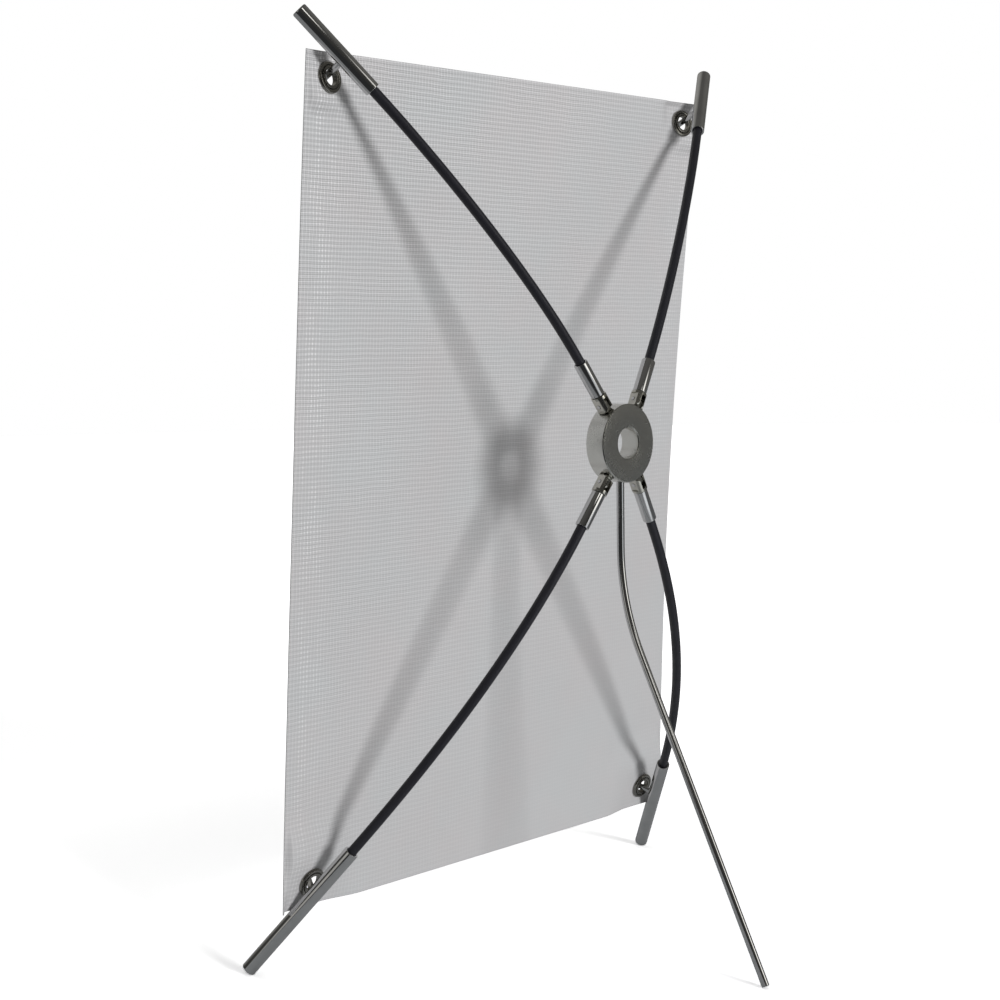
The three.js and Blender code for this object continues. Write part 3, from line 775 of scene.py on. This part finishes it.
def handled_metal(name, group, colour, roughness, smudge, darkening):
    """Starts a metal. What comes back is its shader, and the height of its scratches and pits."""
    shader, place = start_material(name)
    inputs = {
        "Vector": Signal(place, "Object"),
        "Base Roughness": roughness,
        "Smudge": smudge,
        "Darkening": darkening,
    }
    surface = add_node(shader.id_data, "Group", inputs, node_tree=group)
    feed(shader, {
        "Metallic": 1,
        "Roughness": Signal(surface, "Roughness"),
        "Base Color": tinted((*colour, 1), Signal(surface, "Shade")),
    })
    return shader, Signal(surface, "Height")


def metal_material(name, group, colour, roughness, smudge, darkening, relief):
    shader, height = handled_metal(name, group, colour, roughness, smudge, darkening)
    feed(shader, {"Normal": bump(height, METAL_RELIEF, relief)})


def hub_material(group, colour):
    """Turned steel: handled metal with fine tool rings around the hub's axis."""
    shader, height = handled_metal("turned hub steel", group, colour, *HUB_SURFACE)
    tree = shader.id_data
    scale, strength, relief = TOOL_RINGS
    place = Signal(add_node(tree, "TexCoord"), "Object")
    centred = add_node(tree, "Mapping", {"Vector": place, "Location": -HUB_CENTRE})
    from_axis = vector_math("LENGTH", "Value", stretched(Signal(centred, "Vector"), 1, 0, 1))
    inputs = {"W": from_axis, "Scale": scale, "Detail": 2}
    rings = add_node(tree, "TexNoise", inputs, noise_dimensions="1D")
    feed(shader, {"Normal": bump(Signal(rings, "Fac") + height, strength, relief)})


def rod_material(colour):
    """Satin black pultruded rod with faint fibres along it."""
    shader, place = start_material("black glass-fibre rod")
    fibres = streaks(Signal(place, "UV"), FIBRES)
    dust = noise(Signal(place, "Object"), "dust")
    feed(shader, {
        "Base Color": tinted((*colour, 1), fibres.mapped(0.3, 0.7, 0.75, 1.5)),
        "Roughness": fibres.mapped(0.3, 0.7, 0.34, 0.46) + dust.mapped(0.45, 0.75, 0, 0.14),
        "Specular IOR Level": 0.35,
        "Normal": bump(fibres, 0.3, 0.04 * MM),
    })


def weave_group():
    """A woven grid on a UV map in metres: how high its threads stand, how light they look, with painted
    light that pales the sheet towards its top, and how the sheet's faint cast drifts."""
    group, (vector, run, rise, unevenness, half_width, sheet_height), leave = new_group(
        "scrim threads",
        ("Vector", "Run", "Rise", "Unevenness", "Half Width", "Height"),
        ("Height", "Shade", "Drift"),
    )
    split = add_node(group, "SeparateXYZ", {0: vector})
    across, up = Signal(split, "X"), Signal(split, "Y")
    sway = (noise(vector, "sway") - 0.5) * THREAD_SWAY

    def wave(value, pitch):
        return ((value + sway) / pitch * FULL_TURN).reckon("COSINE")

    def threads(value, pitch, uneven):
        return wave(value, pitch).mapped(-0.35, 1) * ((uneven - 0.5) * unevenness + 1)

    level = threads(up, rise, streaks(vector, LEVEL_STREAKS))
    upright = threads(across, run, streaks(vector, UPRIGHT_STREAKS))
    height = level + upright * UPRIGHT_SHARE
    # The coat hides the threads more and more from one upper corner to the lower corner across from it
    share = up / sheet_height
    clear = (share + across / half_width * CLEAR_SLANT).mapped(*CLEAR_RANGE)
    # Fine threads between the coarse ones, clearer in some patches than in others
    fine = wave(up, FINE_PITCHES[0]) + wave(across, FINE_PITCHES[1]) * UPRIGHT_SHARE
    fine = fine * noise(vector, "patches").mapped(0.4, 0.62, 0.2, 1) * FINE_SHARE
    # Specks where the threads cross in a band along each side edge
    inset = half_width - across.reckon("ABSOLUTE")
    band = inset.mapped(*BAND_IN) * inset.mapped(*BAND_OUT)
    specks = level * upright * band * streaks(vector, SPECK_STREAKS).mapped(0.42, 0.58, 0, 0.3)
    # The sheet's tone is a little uneven, and painted light makes it paler towards its top
    tone_and_painted_top_light = noise(vector, "tone_and_painted_top_light").mapped(0.3, 0.7, 0.98, 1.02) * share.mapped(0.1, 1, 0.995, 1.075)
    pattern = height.mapped(*COARSE_SHADE) + fine + specks
    feed(leave, {
        "Height": height * clear + noise(vector, "coat") * COAT_SHARE,
        "Shade": (pattern * clear + MEAN_SHADE) * tone_and_painted_top_light,
        "Drift": noise(vector, "drift").mapped(0.35, 0.65),
    })
    return group


def scrim_threads(place, group, unevenness):
    """The woven grid at the banner's sizes."""
    banner = sizes("stand_banner")
    inputs = {
        "Vector": Signal(place, "UV"),
        "Run": banner.thread_run,
        "Rise": banner.thread_rise,
        "Half Width": banner.width / 2,
        "Height": banner.height,
        "Unevenness": unevenness,
    }
    return add_node(place.id_data, "Group", inputs, node_tree=group)


def back_material(group, colour):
    """The banner's back: its threads show as a faint pattern and a fine relief."""
    shader, place = start_material("scrim banner back")
    threads = scrim_threads(place, group, 0.7)
    height = Signal(threads, "Height")
    warm, cool = [(*(part * share for part, share in zip(colour, cast)), 1) for cast in CASTS]
    cast = mixed(shader.id_data, "RGBA", Signal(threads, "Drift"), warm, cool)
    feed(shader, {
        "Base Color": tinted(cast, Signal(threads, "Shade")),
        "Roughness": height.mapped(0, 2, 0.62, 0.5),
        "Normal": bump(height, 0.9, 0.1 * MM),
    })


def face_material(group, colour):
    """The banner's coated face: plain and smooth, with its threads only just showing."""
    shader, place = start_material("coated banner face")
    height = Signal(scrim_threads(place, group, 0.3), "Height")
    feed(shader, {
        "Base Color": (*colour, 1),
        "Roughness": height.mapped(0, 2, 0.42, 0.36),
        "Normal": bump(height, 0.2, 0.05 * MM),
    })


def build_materials():
    """Every finish of the stand, made once."""
    if "bright plating" in bpy.data.materials:
        return
    colours = sizes("stand_colours")
    handled = handled_metal_group()
    weave = weave_group()
    for name, (colour, *surface) in METALS.items():
        metal_material(name, handled, getattr(colours, colour), *surface)
    hub_material(handled, colours.hub)
    rod_material(colours.rod)
    back_material(weave, colours.banner)
    face_material(weave, colours.banner_face)


def finish_of(name):
    build_materials()
    return bpy.data.materials[name]


# Operators


class StandPieceOperator:
    """What all the operators of the stand share."""

    bl_options = {"REGISTER", "UNDO"}


class BANNER_STAND_OT_hub(StandPieceOperator, bpy.types.Operator):
    """Build the hub ring and its four hinge lugs"""

    bl_idname = "banner_stand.hub"
    bl_label = "Hub"

    def execute(self, context):
        hub, arm, leg = sizes("stand_hub"), sizes("stand_arm"), sizes("stand_leg")
        half, outer, inner = HUB_THICKNESS / 2, HUB_DIAMETER / 2, hub.bore / 2
        cut, soft, gap = hub.chamfer, hub.chamfer * CHAMFER_SOFTNESS, hub.socket_clearance
        outline = [
            (-half, inner + cut, soft),
            (-half, outer - cut, soft),
            (-half + cut, outer, soft),
            (half - cut, outer, soft),
            (half, outer - cut, soft),
            (half, inner + cut, soft),
            (half - cut, inner, soft),
            (-half + cut, inner, soft),
        ]
        ring = moved(lathe(outline, RING_STEPS), QUARTER_TURN)
        lug_socket = (outer - arm.seat_gap - hub.plug_length - gap, hub.plug_diameter / 2 + gap)
        sockets = [(arm_root(corner)[1], *lug_socket) for corner in CORNERS]
        sockets.append((DOWN, outer - leg.in_hub - gap, leg.diameter / 2 + gap))
        for way, floor, radius in sockets:
            socket = rod_between(floor, outer * 2, radius, PIN_STEPS)
            ring = combined(ring, moved(socket, axes_matrix(Vector(), way, REARWARD)), "DIFFERENCE")
        finish_piece(ring, "hub_ring", "hub", "hub_steel", Matrix.Translation(HUB_CENTRE))
        for corner in CORNERS:
            self.lug(corner)
        return {"FINISHED"}

    def lug(self, corner):
        """A plug in the hub's rim with a tongue that the knuckle's fork straddles."""
        hub, arm = sizes("stand_hub"), sizes("stand_arm")
        pivot, radial = arm_root(corner)
        end = HUB_DIAMETER / 2 - arm.seat_gap - (pivot - HUB_CENTRE).length
        half, tall, edge = hub.tongue_thickness / 2, hub.tongue_height / 2, hub.chamfer
        lug = rod_between(end - hub.plug_length, end, hub.plug_diameter / 2, PIN_STEPS, edge, edge)
        lug = combined(lug, block((end - hub.plug_length / 2, -half, -tall), (0, half, tall)), "UNION")
        lug = combined(lug, cross_bar(tall, half, SLEEVE_STEPS), "UNION")
        hole = cross_bar(hub.pin_diameter / 2 + arm.seat_gap, half * 2, PIN_STEPS)
        lug = combined(lug, hole, "DIFFERENCE")
        place = axes_matrix(pivot, radial, REARWARD)
        finish_piece(lug, corner + "_hinge_lug", "hub", "knuckle_steel", place, corner + "_lug_milled")


class BANNER_STAND_OT_arms(StandPieceOperator, bpy.types.Operator):
    """Build the four folding arms, from hinge pin to hook pin"""

    bl_idname = "banner_stand.arms"
    bl_label = "Arms"

    def execute(self, context):
        for corner in CORNERS:
            self.hinge_end(corner)
            self.far_end(corner)
        return {"FINISHED"}

    def hinge_end(self, corner):
        """The hinge pin, the knuckle and the sleeve."""
        hub, arm = sizes("stand_hub"), sizes("stand_arm")
        body, place = "arm_" + corner, arm_place(corner)
        proud = hub.pin_proud
        half = arm.across_flats / 2 + proud
        pin = rod_between(-half, half, hub.pin_diameter / 2, PIN_STEPS, proud, proud)
        finish_piece(pin, corner + "_hinge_pin", body, "chrome", place @ QUARTER_TURN)
        finish_piece(self.knuckle(corner), corner + "_knuckle", body, "knuckle_steel", place)
        outer, bore, lip = arm.ferrule_diameter / 2, arm.rod_diameter / 2 + arm.seat_gap, arm.lip_rounding
        start = arm.collar_end + arm.seat_gap
        end = start + arm.ferrule_length
        outline = [(start, bore), (start, outer, lip / 2), (end, outer, lip), (end, bore, lip / 2)]
        finish_piece(lathe(outline, SLEEVE_STEPS), corner + "_ferrule", body, "chrome", place)

    def knuckle(self, corner):
        """A fork over the hub's tongue: round behind the pivot, a square heel in front of it."""
        hub, arm = sizes("stand_hub"), sizes("stand_arm")
        radius, flat, shank = arm.knuckle_diameter / 2, arm.across_flats / 2, arm.shank_diameter / 2
        heel = (arm_root(corner)[0] - HUB_CENTRE).length - HUB_DIAMETER / 2 - arm.seat_gap
        far = arm.knuckle_diameter * 2
        beyond = far * OVERRUN_SHARE
        shank_end = arm.collar_end + arm.shank_length
        collar = [(-far, 0), (-far, radius), (arm.collar_end, radius, arm.lip_rounding)]
        body = lathe([*collar, (arm.collar_end, shank), (shank_end, shank), (shank_end, 0)], SLEEVE_STEPS)
        square = moved(block((-heel, -far, -far), (0, far, 0)), Matrix.Rotation(-arm.forward_angle, 4, "Y"))
        keep = combined(cross_bar(heel, far, SLEEVE_STEPS), square, "UNION")
        keep = combined(keep, block((0, -beyond, -beyond), (far, beyond, beyond)), "UNION")
        body = combined(body, keep, "INTERSECT")
        for side in (-1, 1):
            near, wide = sorted((side * flat, side * far))
            body = combined(body, block((-far, near, -far), (arm.flat_length, wide, far)), "DIFFERENCE")
        slot = hub.tongue_thickness / 2 + arm.seat_gap
        floor = hub.tongue_height / 2 + arm.slot_floor_gap
        body = combined(body, block((-far, -slot, -far), (floor, slot, far)), "DIFFERENCE")
        hole = cross_bar(hub.pin_diameter / 2 + arm.seat_gap / 3, far, PIN_STEPS)
        return combined(body, hole, "DIFFERENCE")

    def far_end(self, corner):
        """The end tube, its hook pin, and the rod that reaches it."""
        arm, kind = sizes("stand_arm"), arm_kind(corner)
        body = "arm_" + corner
        along, root, pin_along, pin_length = tube_place(corner)
        mouth = root - along * kind["mouth_to_pin"]
        outer, bore, lip = arm.tube_diameter / 2, arm.rod_diameter / 2 + arm.seat_gap, arm.lip_rounding
        end = kind["mouth_to_pin"] + kind["pin_to_tip"]
        floor = end - arm.tube_end_wall
        inside = [(floor, 0), (floor, bore), (0, bore, lip / 2)]
        tube = lathe([*inside, (0, outer, lip), (end, outer, arm.tube_end_rounding), (end, 0)], SLEEVE_STEPS)
        place = axes_matrix(mouth, along, -pin_along)
        finish_piece(tube, f"{corner}_{kind['tube']}", body, "chrome", place)
        radius = arm.hook_pin_diameter / 2
        pin = rod_between(bore, pin_length, radius, PIN_STEPS, 0, arm.hook_pin_rounding)
        finish_piece(pin, corner + "_hook_pin", body, "chrome", axes_matrix(root, pin_along, along))
        self.rod(corner, mouth, along)

    def rod(self, corner, tube_mouth, tube_along):
        """A springy rod from inside the sleeve to inside the end tube."""
        arm, kind, place = sizes("stand_arm"), arm_kind(corner), arm_place(corner)
        root = arm.collar_end + arm.shank_length + 3 * arm.seat_gap
        mouth = arm.collar_end + arm.seat_gap + arm.ferrule_length
        pull = mouth + kind["pull_at_root"]
        root, mouth, pull = (place @ Vector((along, 0, 0)) for along in (root, mouth, pull))
        bow = bezier(mouth, pull, tube_mouth - tube_along * kind["pull_at_tip"], tube_mouth, ROD_STEPS)
        points = [root, *bow, tube_mouth + tube_along * arm.rod_in_tube]
        bar = sweep(points, arm.rod_diameter / 2, ROD_SIDES, arm.lip_rounding)
        finish_piece(bar, corner + "_rod", "arm_" + corner, "glass_fibre")


# Faces of the sheet whose normal has less than this of the banner's are its coated face
FRONT_FACING = -0.5


class BANNER_STAND_OT_banner(StandPieceOperator, bpy.types.Operator):
    """Build the banner sheet with its four holes"""

    bl_idname = "banner_stand.banner"
    bl_label = "Banner"

    def execute(self, context):
        banner = sizes("stand_banner")
        bm = self.sheet(banner)
        radius = banner.eyelet_hole / 2 + banner.barrel_wall
        for corner in CORNERS:
            hole = rod_between(-banner.eyelet_hole, banner.eyelet_hole, radius, PIN_STEPS)
            bm = combined(bm, moved(hole, axes_matrix(*eyelet_place(corner))), "DIFFERENCE")
        sheet = finish_piece(bm, "banner_sheet", "banner", "scrim_vinyl", banner_matrix(), "banner_scrim")
        sheet.data.materials.append(finish_of("coated banner face"))
        for polygon in sheet.data.polygons:
            polygon.material_index = int(polygon.normal.dot(BANNER_NORMAL) < FRONT_FACING)
        return {"FINISHED"}

    def sheet(self, banner):
        """The bowed sheet, finer towards its edges, with a UV map that runs over it flat in metres."""
        eyelets = {corner: (eyelet_place(corner)[0], eyelet_lean(corner)) for corner in CORNERS}
        bm = bmesh.new()
        bmesh.ops.create_grid(bm, x_segments=SHEET_COLUMNS, y_segments=SHEET_ROWS, size=0.5)
        for vert in bm.verts:
            vert.co = (crowded(vert.co.x) * banner.width, (crowded(vert.co.y) + 0.5) * banner.height, 0)
        uv = bm.loops.layers.uv.new("UVMap")
        for face in bm.faces:
            for loop in face.loops:
                loop[uv].uv = loop.vert.co.xy
        for vert in bm.verts:
            x, z = vert.co.xy
            angle_across = x / banner.width * WAVE_ACROSS[0] + WAVE_ACROSS[1]
            angle_up = z / banner.height * WAVE_UP[0] + WAVE_UP[1]
            near_side = min(1, abs(abs(x) - banner.width / 2) / banner.ripple_fade)
            near_end = min(1, min(z, banner.height - z) / (2 * banner.ripple_fade))
            wave = banner.ripple * math.sin(angle_across) * math.sin(angle_up) * near_side * near_end
            slack = slack_share(z)
            drawn = x * (1 - 2 * banner.side_draw * slack / banner.width)
            vert.co = (drawn, sheet_depth(x, z, eyelets) + wave - banner.extra_bow * slack, z)
        before = mean_depth(bm)
        bmesh.ops.recalc_face_normals(bm, faces=bm.faces)
        bmesh.ops.solidify(bm, geom=bm.faces[:], thickness=banner.thickness)
        return moved(bm, Matrix.Translation((0, before - mean_depth(bm), 0)))


class BANNER_STAND_OT_eyelets(StandPieceOperator, bpy.types.Operator):
    """Build the four eyelets and their washers"""

    bl_idname = "banner_stand.eyelets"
    bl_label = "Eyelets"

    def execute(self, context):
        banner, gap = sizes("stand_banner"), sizes("stand_arm").seat_gap
        front, face, seat, top, lip, lip_top = eyelet_levels()
        edge, inner = banner.eyelet_diameter / 2, banner.eyelet_hole / 2
        barrel, lip_edge = inner + banner.barrel_wall, inner + banner.lip_width
        roll = banner.flange * ROLL_SHARE
        eyelet = [
            (front, inner, banner.flange),
            (front, edge, roll),
            (face, edge, roll),
            (face, barrel),
            (lip, barrel),
            (lip, lip_edge, roll),
            (lip_top, lip_edge, roll),
            (lip_top, inner, roll),
        ]
        crest, dome = (edge + lip_edge) / 2, top + banner.washer_dome
        lower, upper, crown, foot = WASHER_ROUNDINGS
        washer = [
            (seat, barrel + gap),
            (seat, edge, lower),
            (seat + banner.washer / 2, edge, upper),
            (dome, crest + WASHER_CREST, crown),
            (dome, crest - WASHER_CREST, crown),
            (top, lip_edge + gap, foot),
            (top, barrel + gap),
        ]
        for corner in CORNERS:
            place = banner_matrix() @ axes_matrix(*eyelet_place(corner))
            for ending, outline in (("_eyelet", eyelet), ("_eyelet_washer", washer)):
                finish_piece(lathe(outline, SLEEVE_STEPS), corner + ending, "banner", "nickel", place)
        return {"FINISHED"}


class BANNER_STAND_OT_leg(StandPieceOperator, bpy.types.Operator):
    """Build the bent rear leg"""

    bl_idname = "banner_stand.leg"
    bl_label = "Rear leg"

    def execute(self, context):
        leg = sizes("stand_leg")
        top = HUB_CENTRE + DOWN * (HUB_DIAMETER / 2 - leg.in_hub)
        corner = HUB_CENTRE + DOWN * leg.bend_below_hub
        slope = Vector((0, math.sin(leg.slope), -math.cos(leg.slope)))
        before = leg.bend_radius * math.tan(leg.slope / 2)
        centre = corner - DOWN * before + REARWARD * leg.bend_radius
        bend = []
        for step in range(LEG_STEPS + 1):
            turn = leg.slope * step / LEG_STEPS
            bend.append(centre + Vector((0, -math.cos(turn), -math.sin(turn))) * leg.bend_radius)
        end_level = GROUND + leg.diameter / 2 * math.sin(leg.slope)
        foot = bend[-1] + slope * ((bend[-1].z - end_level) / math.cos(leg.slope))
        rounding = leg.diameter * LEG_END_SHARE
        bar = sweep([top, *bend, foot], leg.diameter / 2, ROD_SIDES, rounding)
        finish_piece(bar, "rear_leg", "leg", "chrome")
        return {"FINISHED"}


# The photograph's camera, from the hub's centre
CAMERA_FROM_HUB = Vector((696.5, 582.22, 49.66)) * MM
CAMERA_AZIMUTH = math.radians(46.234)
CAMERA_PITCH = math.radians(4.919)
CAMERA_ROLL = math.radians(0.753)
# Its lens and the width of its sensor, in millimetres
CAMERA_LENS = 64.27
CAMERA_SENSOR = 36
# Each light's direction, strength and spread. The fill is low and from the front, for the banner's face: it
# hardly reaches the floor or what stands behind.
LIGHTS = {
    "key light": ((0.072, 0.981, 0.178), 2.18, math.radians(15.5)),
    "front fill": ((0, -0.998, 0.06), 0.85, math.radians(20)),
}
ROOM_LIGHT = 0.28
FLOOR_REACH = 6
# The floor as the camera sees it, with painted shade near the stand and painted light further out that
# washes out shadows: the distances over which its brightness changes, and from what to what
FLOOR_SEEN_WITH_PAINTED_SHADE = (0.26, 0.45, 2.72, 3.3)
# The floor's roughness and gloss, and the colour that bright metal sees of it
FLOOR_ROUGHNESS = 0.9
FLOOR_GLOSS = 0.1
FLOOR_MIRRORED = (0.95, 0.98, 1, 1)
# What bright metal sees of the floor, as a painted reflection: a pale table with an edge towards the camera
# and one beside it. Each
# has a direction, the distances where it begins and ends, and the brightness before and after.
NEAR_EDGE = ((0.574, 0.819, 0), 0.25, 0.34, 0.68, 0.085)
SIDE_EDGE = ((-0.819, 0.574, 0), 0.4, 0.5, 0.68, 0.3)
# A painted sheen: a lane on the table that shines towards the tall strip of light, and where it starts
LANE = ((-0.292, 0.956, 0), 0.94, 0.985, 0, 1.9)
LANE_START = (0.15, 0.28)
# What bright metal sees of the room: a dim glow, and soft patches of light. Each has a direction, the
# cosines where it begins and where it is full, its strength, and how flat its heights count (low is tall).
ROOM_GLOOM = 0.05
ROOM_PATCHES = (
    ((-0.3256, 0.9455, 0.02), 0.968, 0.988, 1.7, 0.4),
    ((0.179, 0.834, 0.522), 0.9895, 0.9976, 2.1, 1),
    ((1, -0.04, 0.08), 0.94, 0.985, 0.5, 1),
    ((-0.965, 0.26, 0), 0.3, 0.8, 0.08, 1),
    ((-0.15, -0.853, 0.5), 0.7, 0.98, 0.3, 1),
    ((0, 0, 1), 0.2, 0.9, 0.07, 1),
)
ROOM_TINT = (1, 0.98, 0.92, 1)
WHITE = (1, 1, 1, 1)


def floor_material():
    """A pale floor: plain for stray light, for the camera darker near the stand as painted shade and
    brighter further out as painted light, and for metal a lit table with a painted sheen.
    """
    shader, place = start_material("pale floor")
    tree = shader.id_data
    feed(shader, {
        "Base Color": (*sizes("stand_colours").floor, 1),
        "Roughness": FLOOR_ROUGHNESS,
        "Specular IOR Level": FLOOR_GLOSS,
    })
    spot = Signal(place, "Object")
    away = vector_math("LENGTH", "Value", spot)
    heading = vector_math("NORMALIZE", "Vector", spot)
    # Painted reflection and sheen: a pale table and a bright lane in the floor's colour that only metal sees
    table = ramp(spot, *NEAR_EDGE).reckon("MINIMUM", ramp(spot, *SIDE_EDGE))
    shine = ramp(heading, *LANE) * away.mapped(*LANE_START)
    mirrored = add_node(tree, "BsdfDiffuse", {"Color": tinted(FLOOR_MIRRORED, table + shine)})
    # Painted shade and light: the floor's colour for the camera is darker near the stand and brighter
    # further out
    seen = add_node(tree, "BsdfDiffuse", {"Color": away.mapped(*FLOOR_SEEN_WITH_PAINTED_SHADE)})
    path = add_node(tree, "LightPath")
    surface = Signal(shader)
    for ray, look in (("Is Glossy Ray", mirrored), ("Is Camera Ray", seen)):
        surface = Signal(add_node(tree, "MixShader", {0: Signal(path, ray), 1: surface, 2: Signal(look)}))
    feed(tree.nodes["Material Output"], {"Surface": surface})
    return bpy.data.materials["pale floor"]


class BANNER_STAND_OT_stage(StandPieceOperator, bpy.types.Operator):
    """Set up the floor, the light and the camera"""

    bl_idname = "banner_stand.stage"
    bl_label = "Stage"

    def execute(self, context):
        scene = context.scene
        scene.view_settings.view_transform = "Standard"
        self.floor()
        self.room(scene)
        for name, light in LIGHTS.items():
            self.light(scene, name, *light)
        self.camera(scene)
        return {"FINISHED"}

    def light(self, scene, name, direction, strength, spread):
        """A far light that the metal doesn't mirror: it mirrors the room's patches of light instead."""
        sun = bpy.data.lights.new(name, "SUN")
        sun.energy = strength
        sun.angle = spread
        lamp = bpy.data.objects.new(name, sun)
        lamp.rotation_euler = Vector(direction).to_track_quat("Z", "Y").to_euler()
        lamp.visible_glossy = False
        scene.collection.objects.link(lamp)

    def floor(self):
        bm = bmesh.new()
        bmesh.ops.create_circle(bm, cap_ends=True, segments=FLOOR_SIDES, radius=FLOOR_REACH)
        floor = new_object("floor", moved(bm, Matrix.Translation((0, 0, GROUND))))
        floor.data.materials.append(floor_material())

    def room(self, scene):
        """White behind everything, an even light, and a soft grey room for reflections."""
        world = bpy.data.worlds.new("studio")
        scene.world = world
        world.use_nodes = True
        tree = world.node_tree
        path = add_node(tree, "LightPath")
        way = Signal(add_node(tree, "TexCoord"), "Generated")
        glow = ROOM_GLOOM
        for direction, low, high, strength, level in ROOM_PATCHES:
            unit = vector_math("NORMALIZE", "Vector", stretched(way, 1, 1, level))
            glow = ramp(unit, Vector(direction).normalized(), low, high, 0, strength) + glow
        mirrored, seen = Signal(path, "Is Glossy Ray"), Signal(path, "Is Camera Ray")
        light = mixed(tree, "FLOAT", mirrored, ROOM_LIGHT, glow)
        feed(tree.nodes["Background"], {
            "Strength": mixed(tree, "FLOAT", seen, light, 1),
            "Color": mixed(tree, "RGBA", mirrored, WHITE, ROOM_TINT),
        })

    def camera(self, scene):
        data = bpy.data.cameras.new("photo view")
        data.lens = CAMERA_LENS
        data.sensor_width = CAMERA_SENSOR
        camera = bpy.data.objects.new("photo view", data)
        level = Vector((-math.sin(CAMERA_AZIMUTH), -math.cos(CAMERA_AZIMUTH), 0))
        forward = level * math.cos(CAMERA_PITCH) + DOWN * math.sin(CAMERA_PITCH)
        right = DOWN.cross(forward).normalized()
        down = forward.cross(right)
        rolled = right * math.cos(CAMERA_ROLL) + down * math.sin(CAMERA_ROLL)
        below = down * math.cos(CAMERA_ROLL) - right * math.sin(CAMERA_ROLL)
        camera.matrix_world = frame_at(HUB_CENTRE + CAMERA_FROM_HUB, rolled, -below, -forward)
        scene.collection.objects.link(camera)
        scene.camera = camera


class BANNER_STAND_PT_panel(bpy.types.Panel):
    """Sizes, colours and build steps of the banner stand"""

    bl_idname = "BANNER_STAND_PT_panel"
    bl_label = "X banner stand"
    bl_space_type = "VIEW_3D"
    bl_region_type = "UI"
    bl_category = "Banner stand"

    def draw(self, context):
        layout = self.layout
        for name in GROUPS:
            box = layout.box()
            group = getattr(context.scene, name)
            for label in group.__annotations__:
                box.prop(group, label)
        for operator in OPERATORS:
            layout.operator(operator.bl_idname)


GROUPS = {
    "stand_hub": StandHubSizes,
    "stand_arm": StandArmSizes,
    "stand_banner": StandBannerSizes,
    "stand_leg": StandLegSizes,
    "stand_colours": StandColours,
}
OPERATORS = (
    BANNER_STAND_OT_stage,
    BANNER_STAND_OT_hub,
    BANNER_STAND_OT_arms,
    BANNER_STAND_OT_banner,
    BANNER_STAND_OT_eyelets,
    BANNER_STAND_OT_leg,
)


def register():
    for group in GROUPS.values():
        bpy.utils.register_class(group)
    for name, group in GROUPS.items():
        setattr(bpy.types.Scene, name, bpy.props.PointerProperty(type=group))
    for kind in (*OPERATORS, BANNER_STAND_PT_panel):
        bpy.utils.register_class(kind)


def unregister():
    for kind in (BANNER_STAND_PT_panel, *reversed(OPERATORS)):
        bpy.utils.unregister_class(kind)
    for name in GROUPS:
        delattr(bpy.types.Scene, name)
    for group in reversed(GROUPS.values()):
        bpy.utils.unregister_class(group)


def main():
    register()
    bpy.ops.banner_stand.stage()
    bpy.ops.banner_stand.hub()
    bpy.ops.banner_stand.arms()
    bpy.ops.banner_stand.banner()
    bpy.ops.banner_stand.eyelets()
    bpy.ops.banner_stand.leg()


if __name__ == "__main__":
    main()
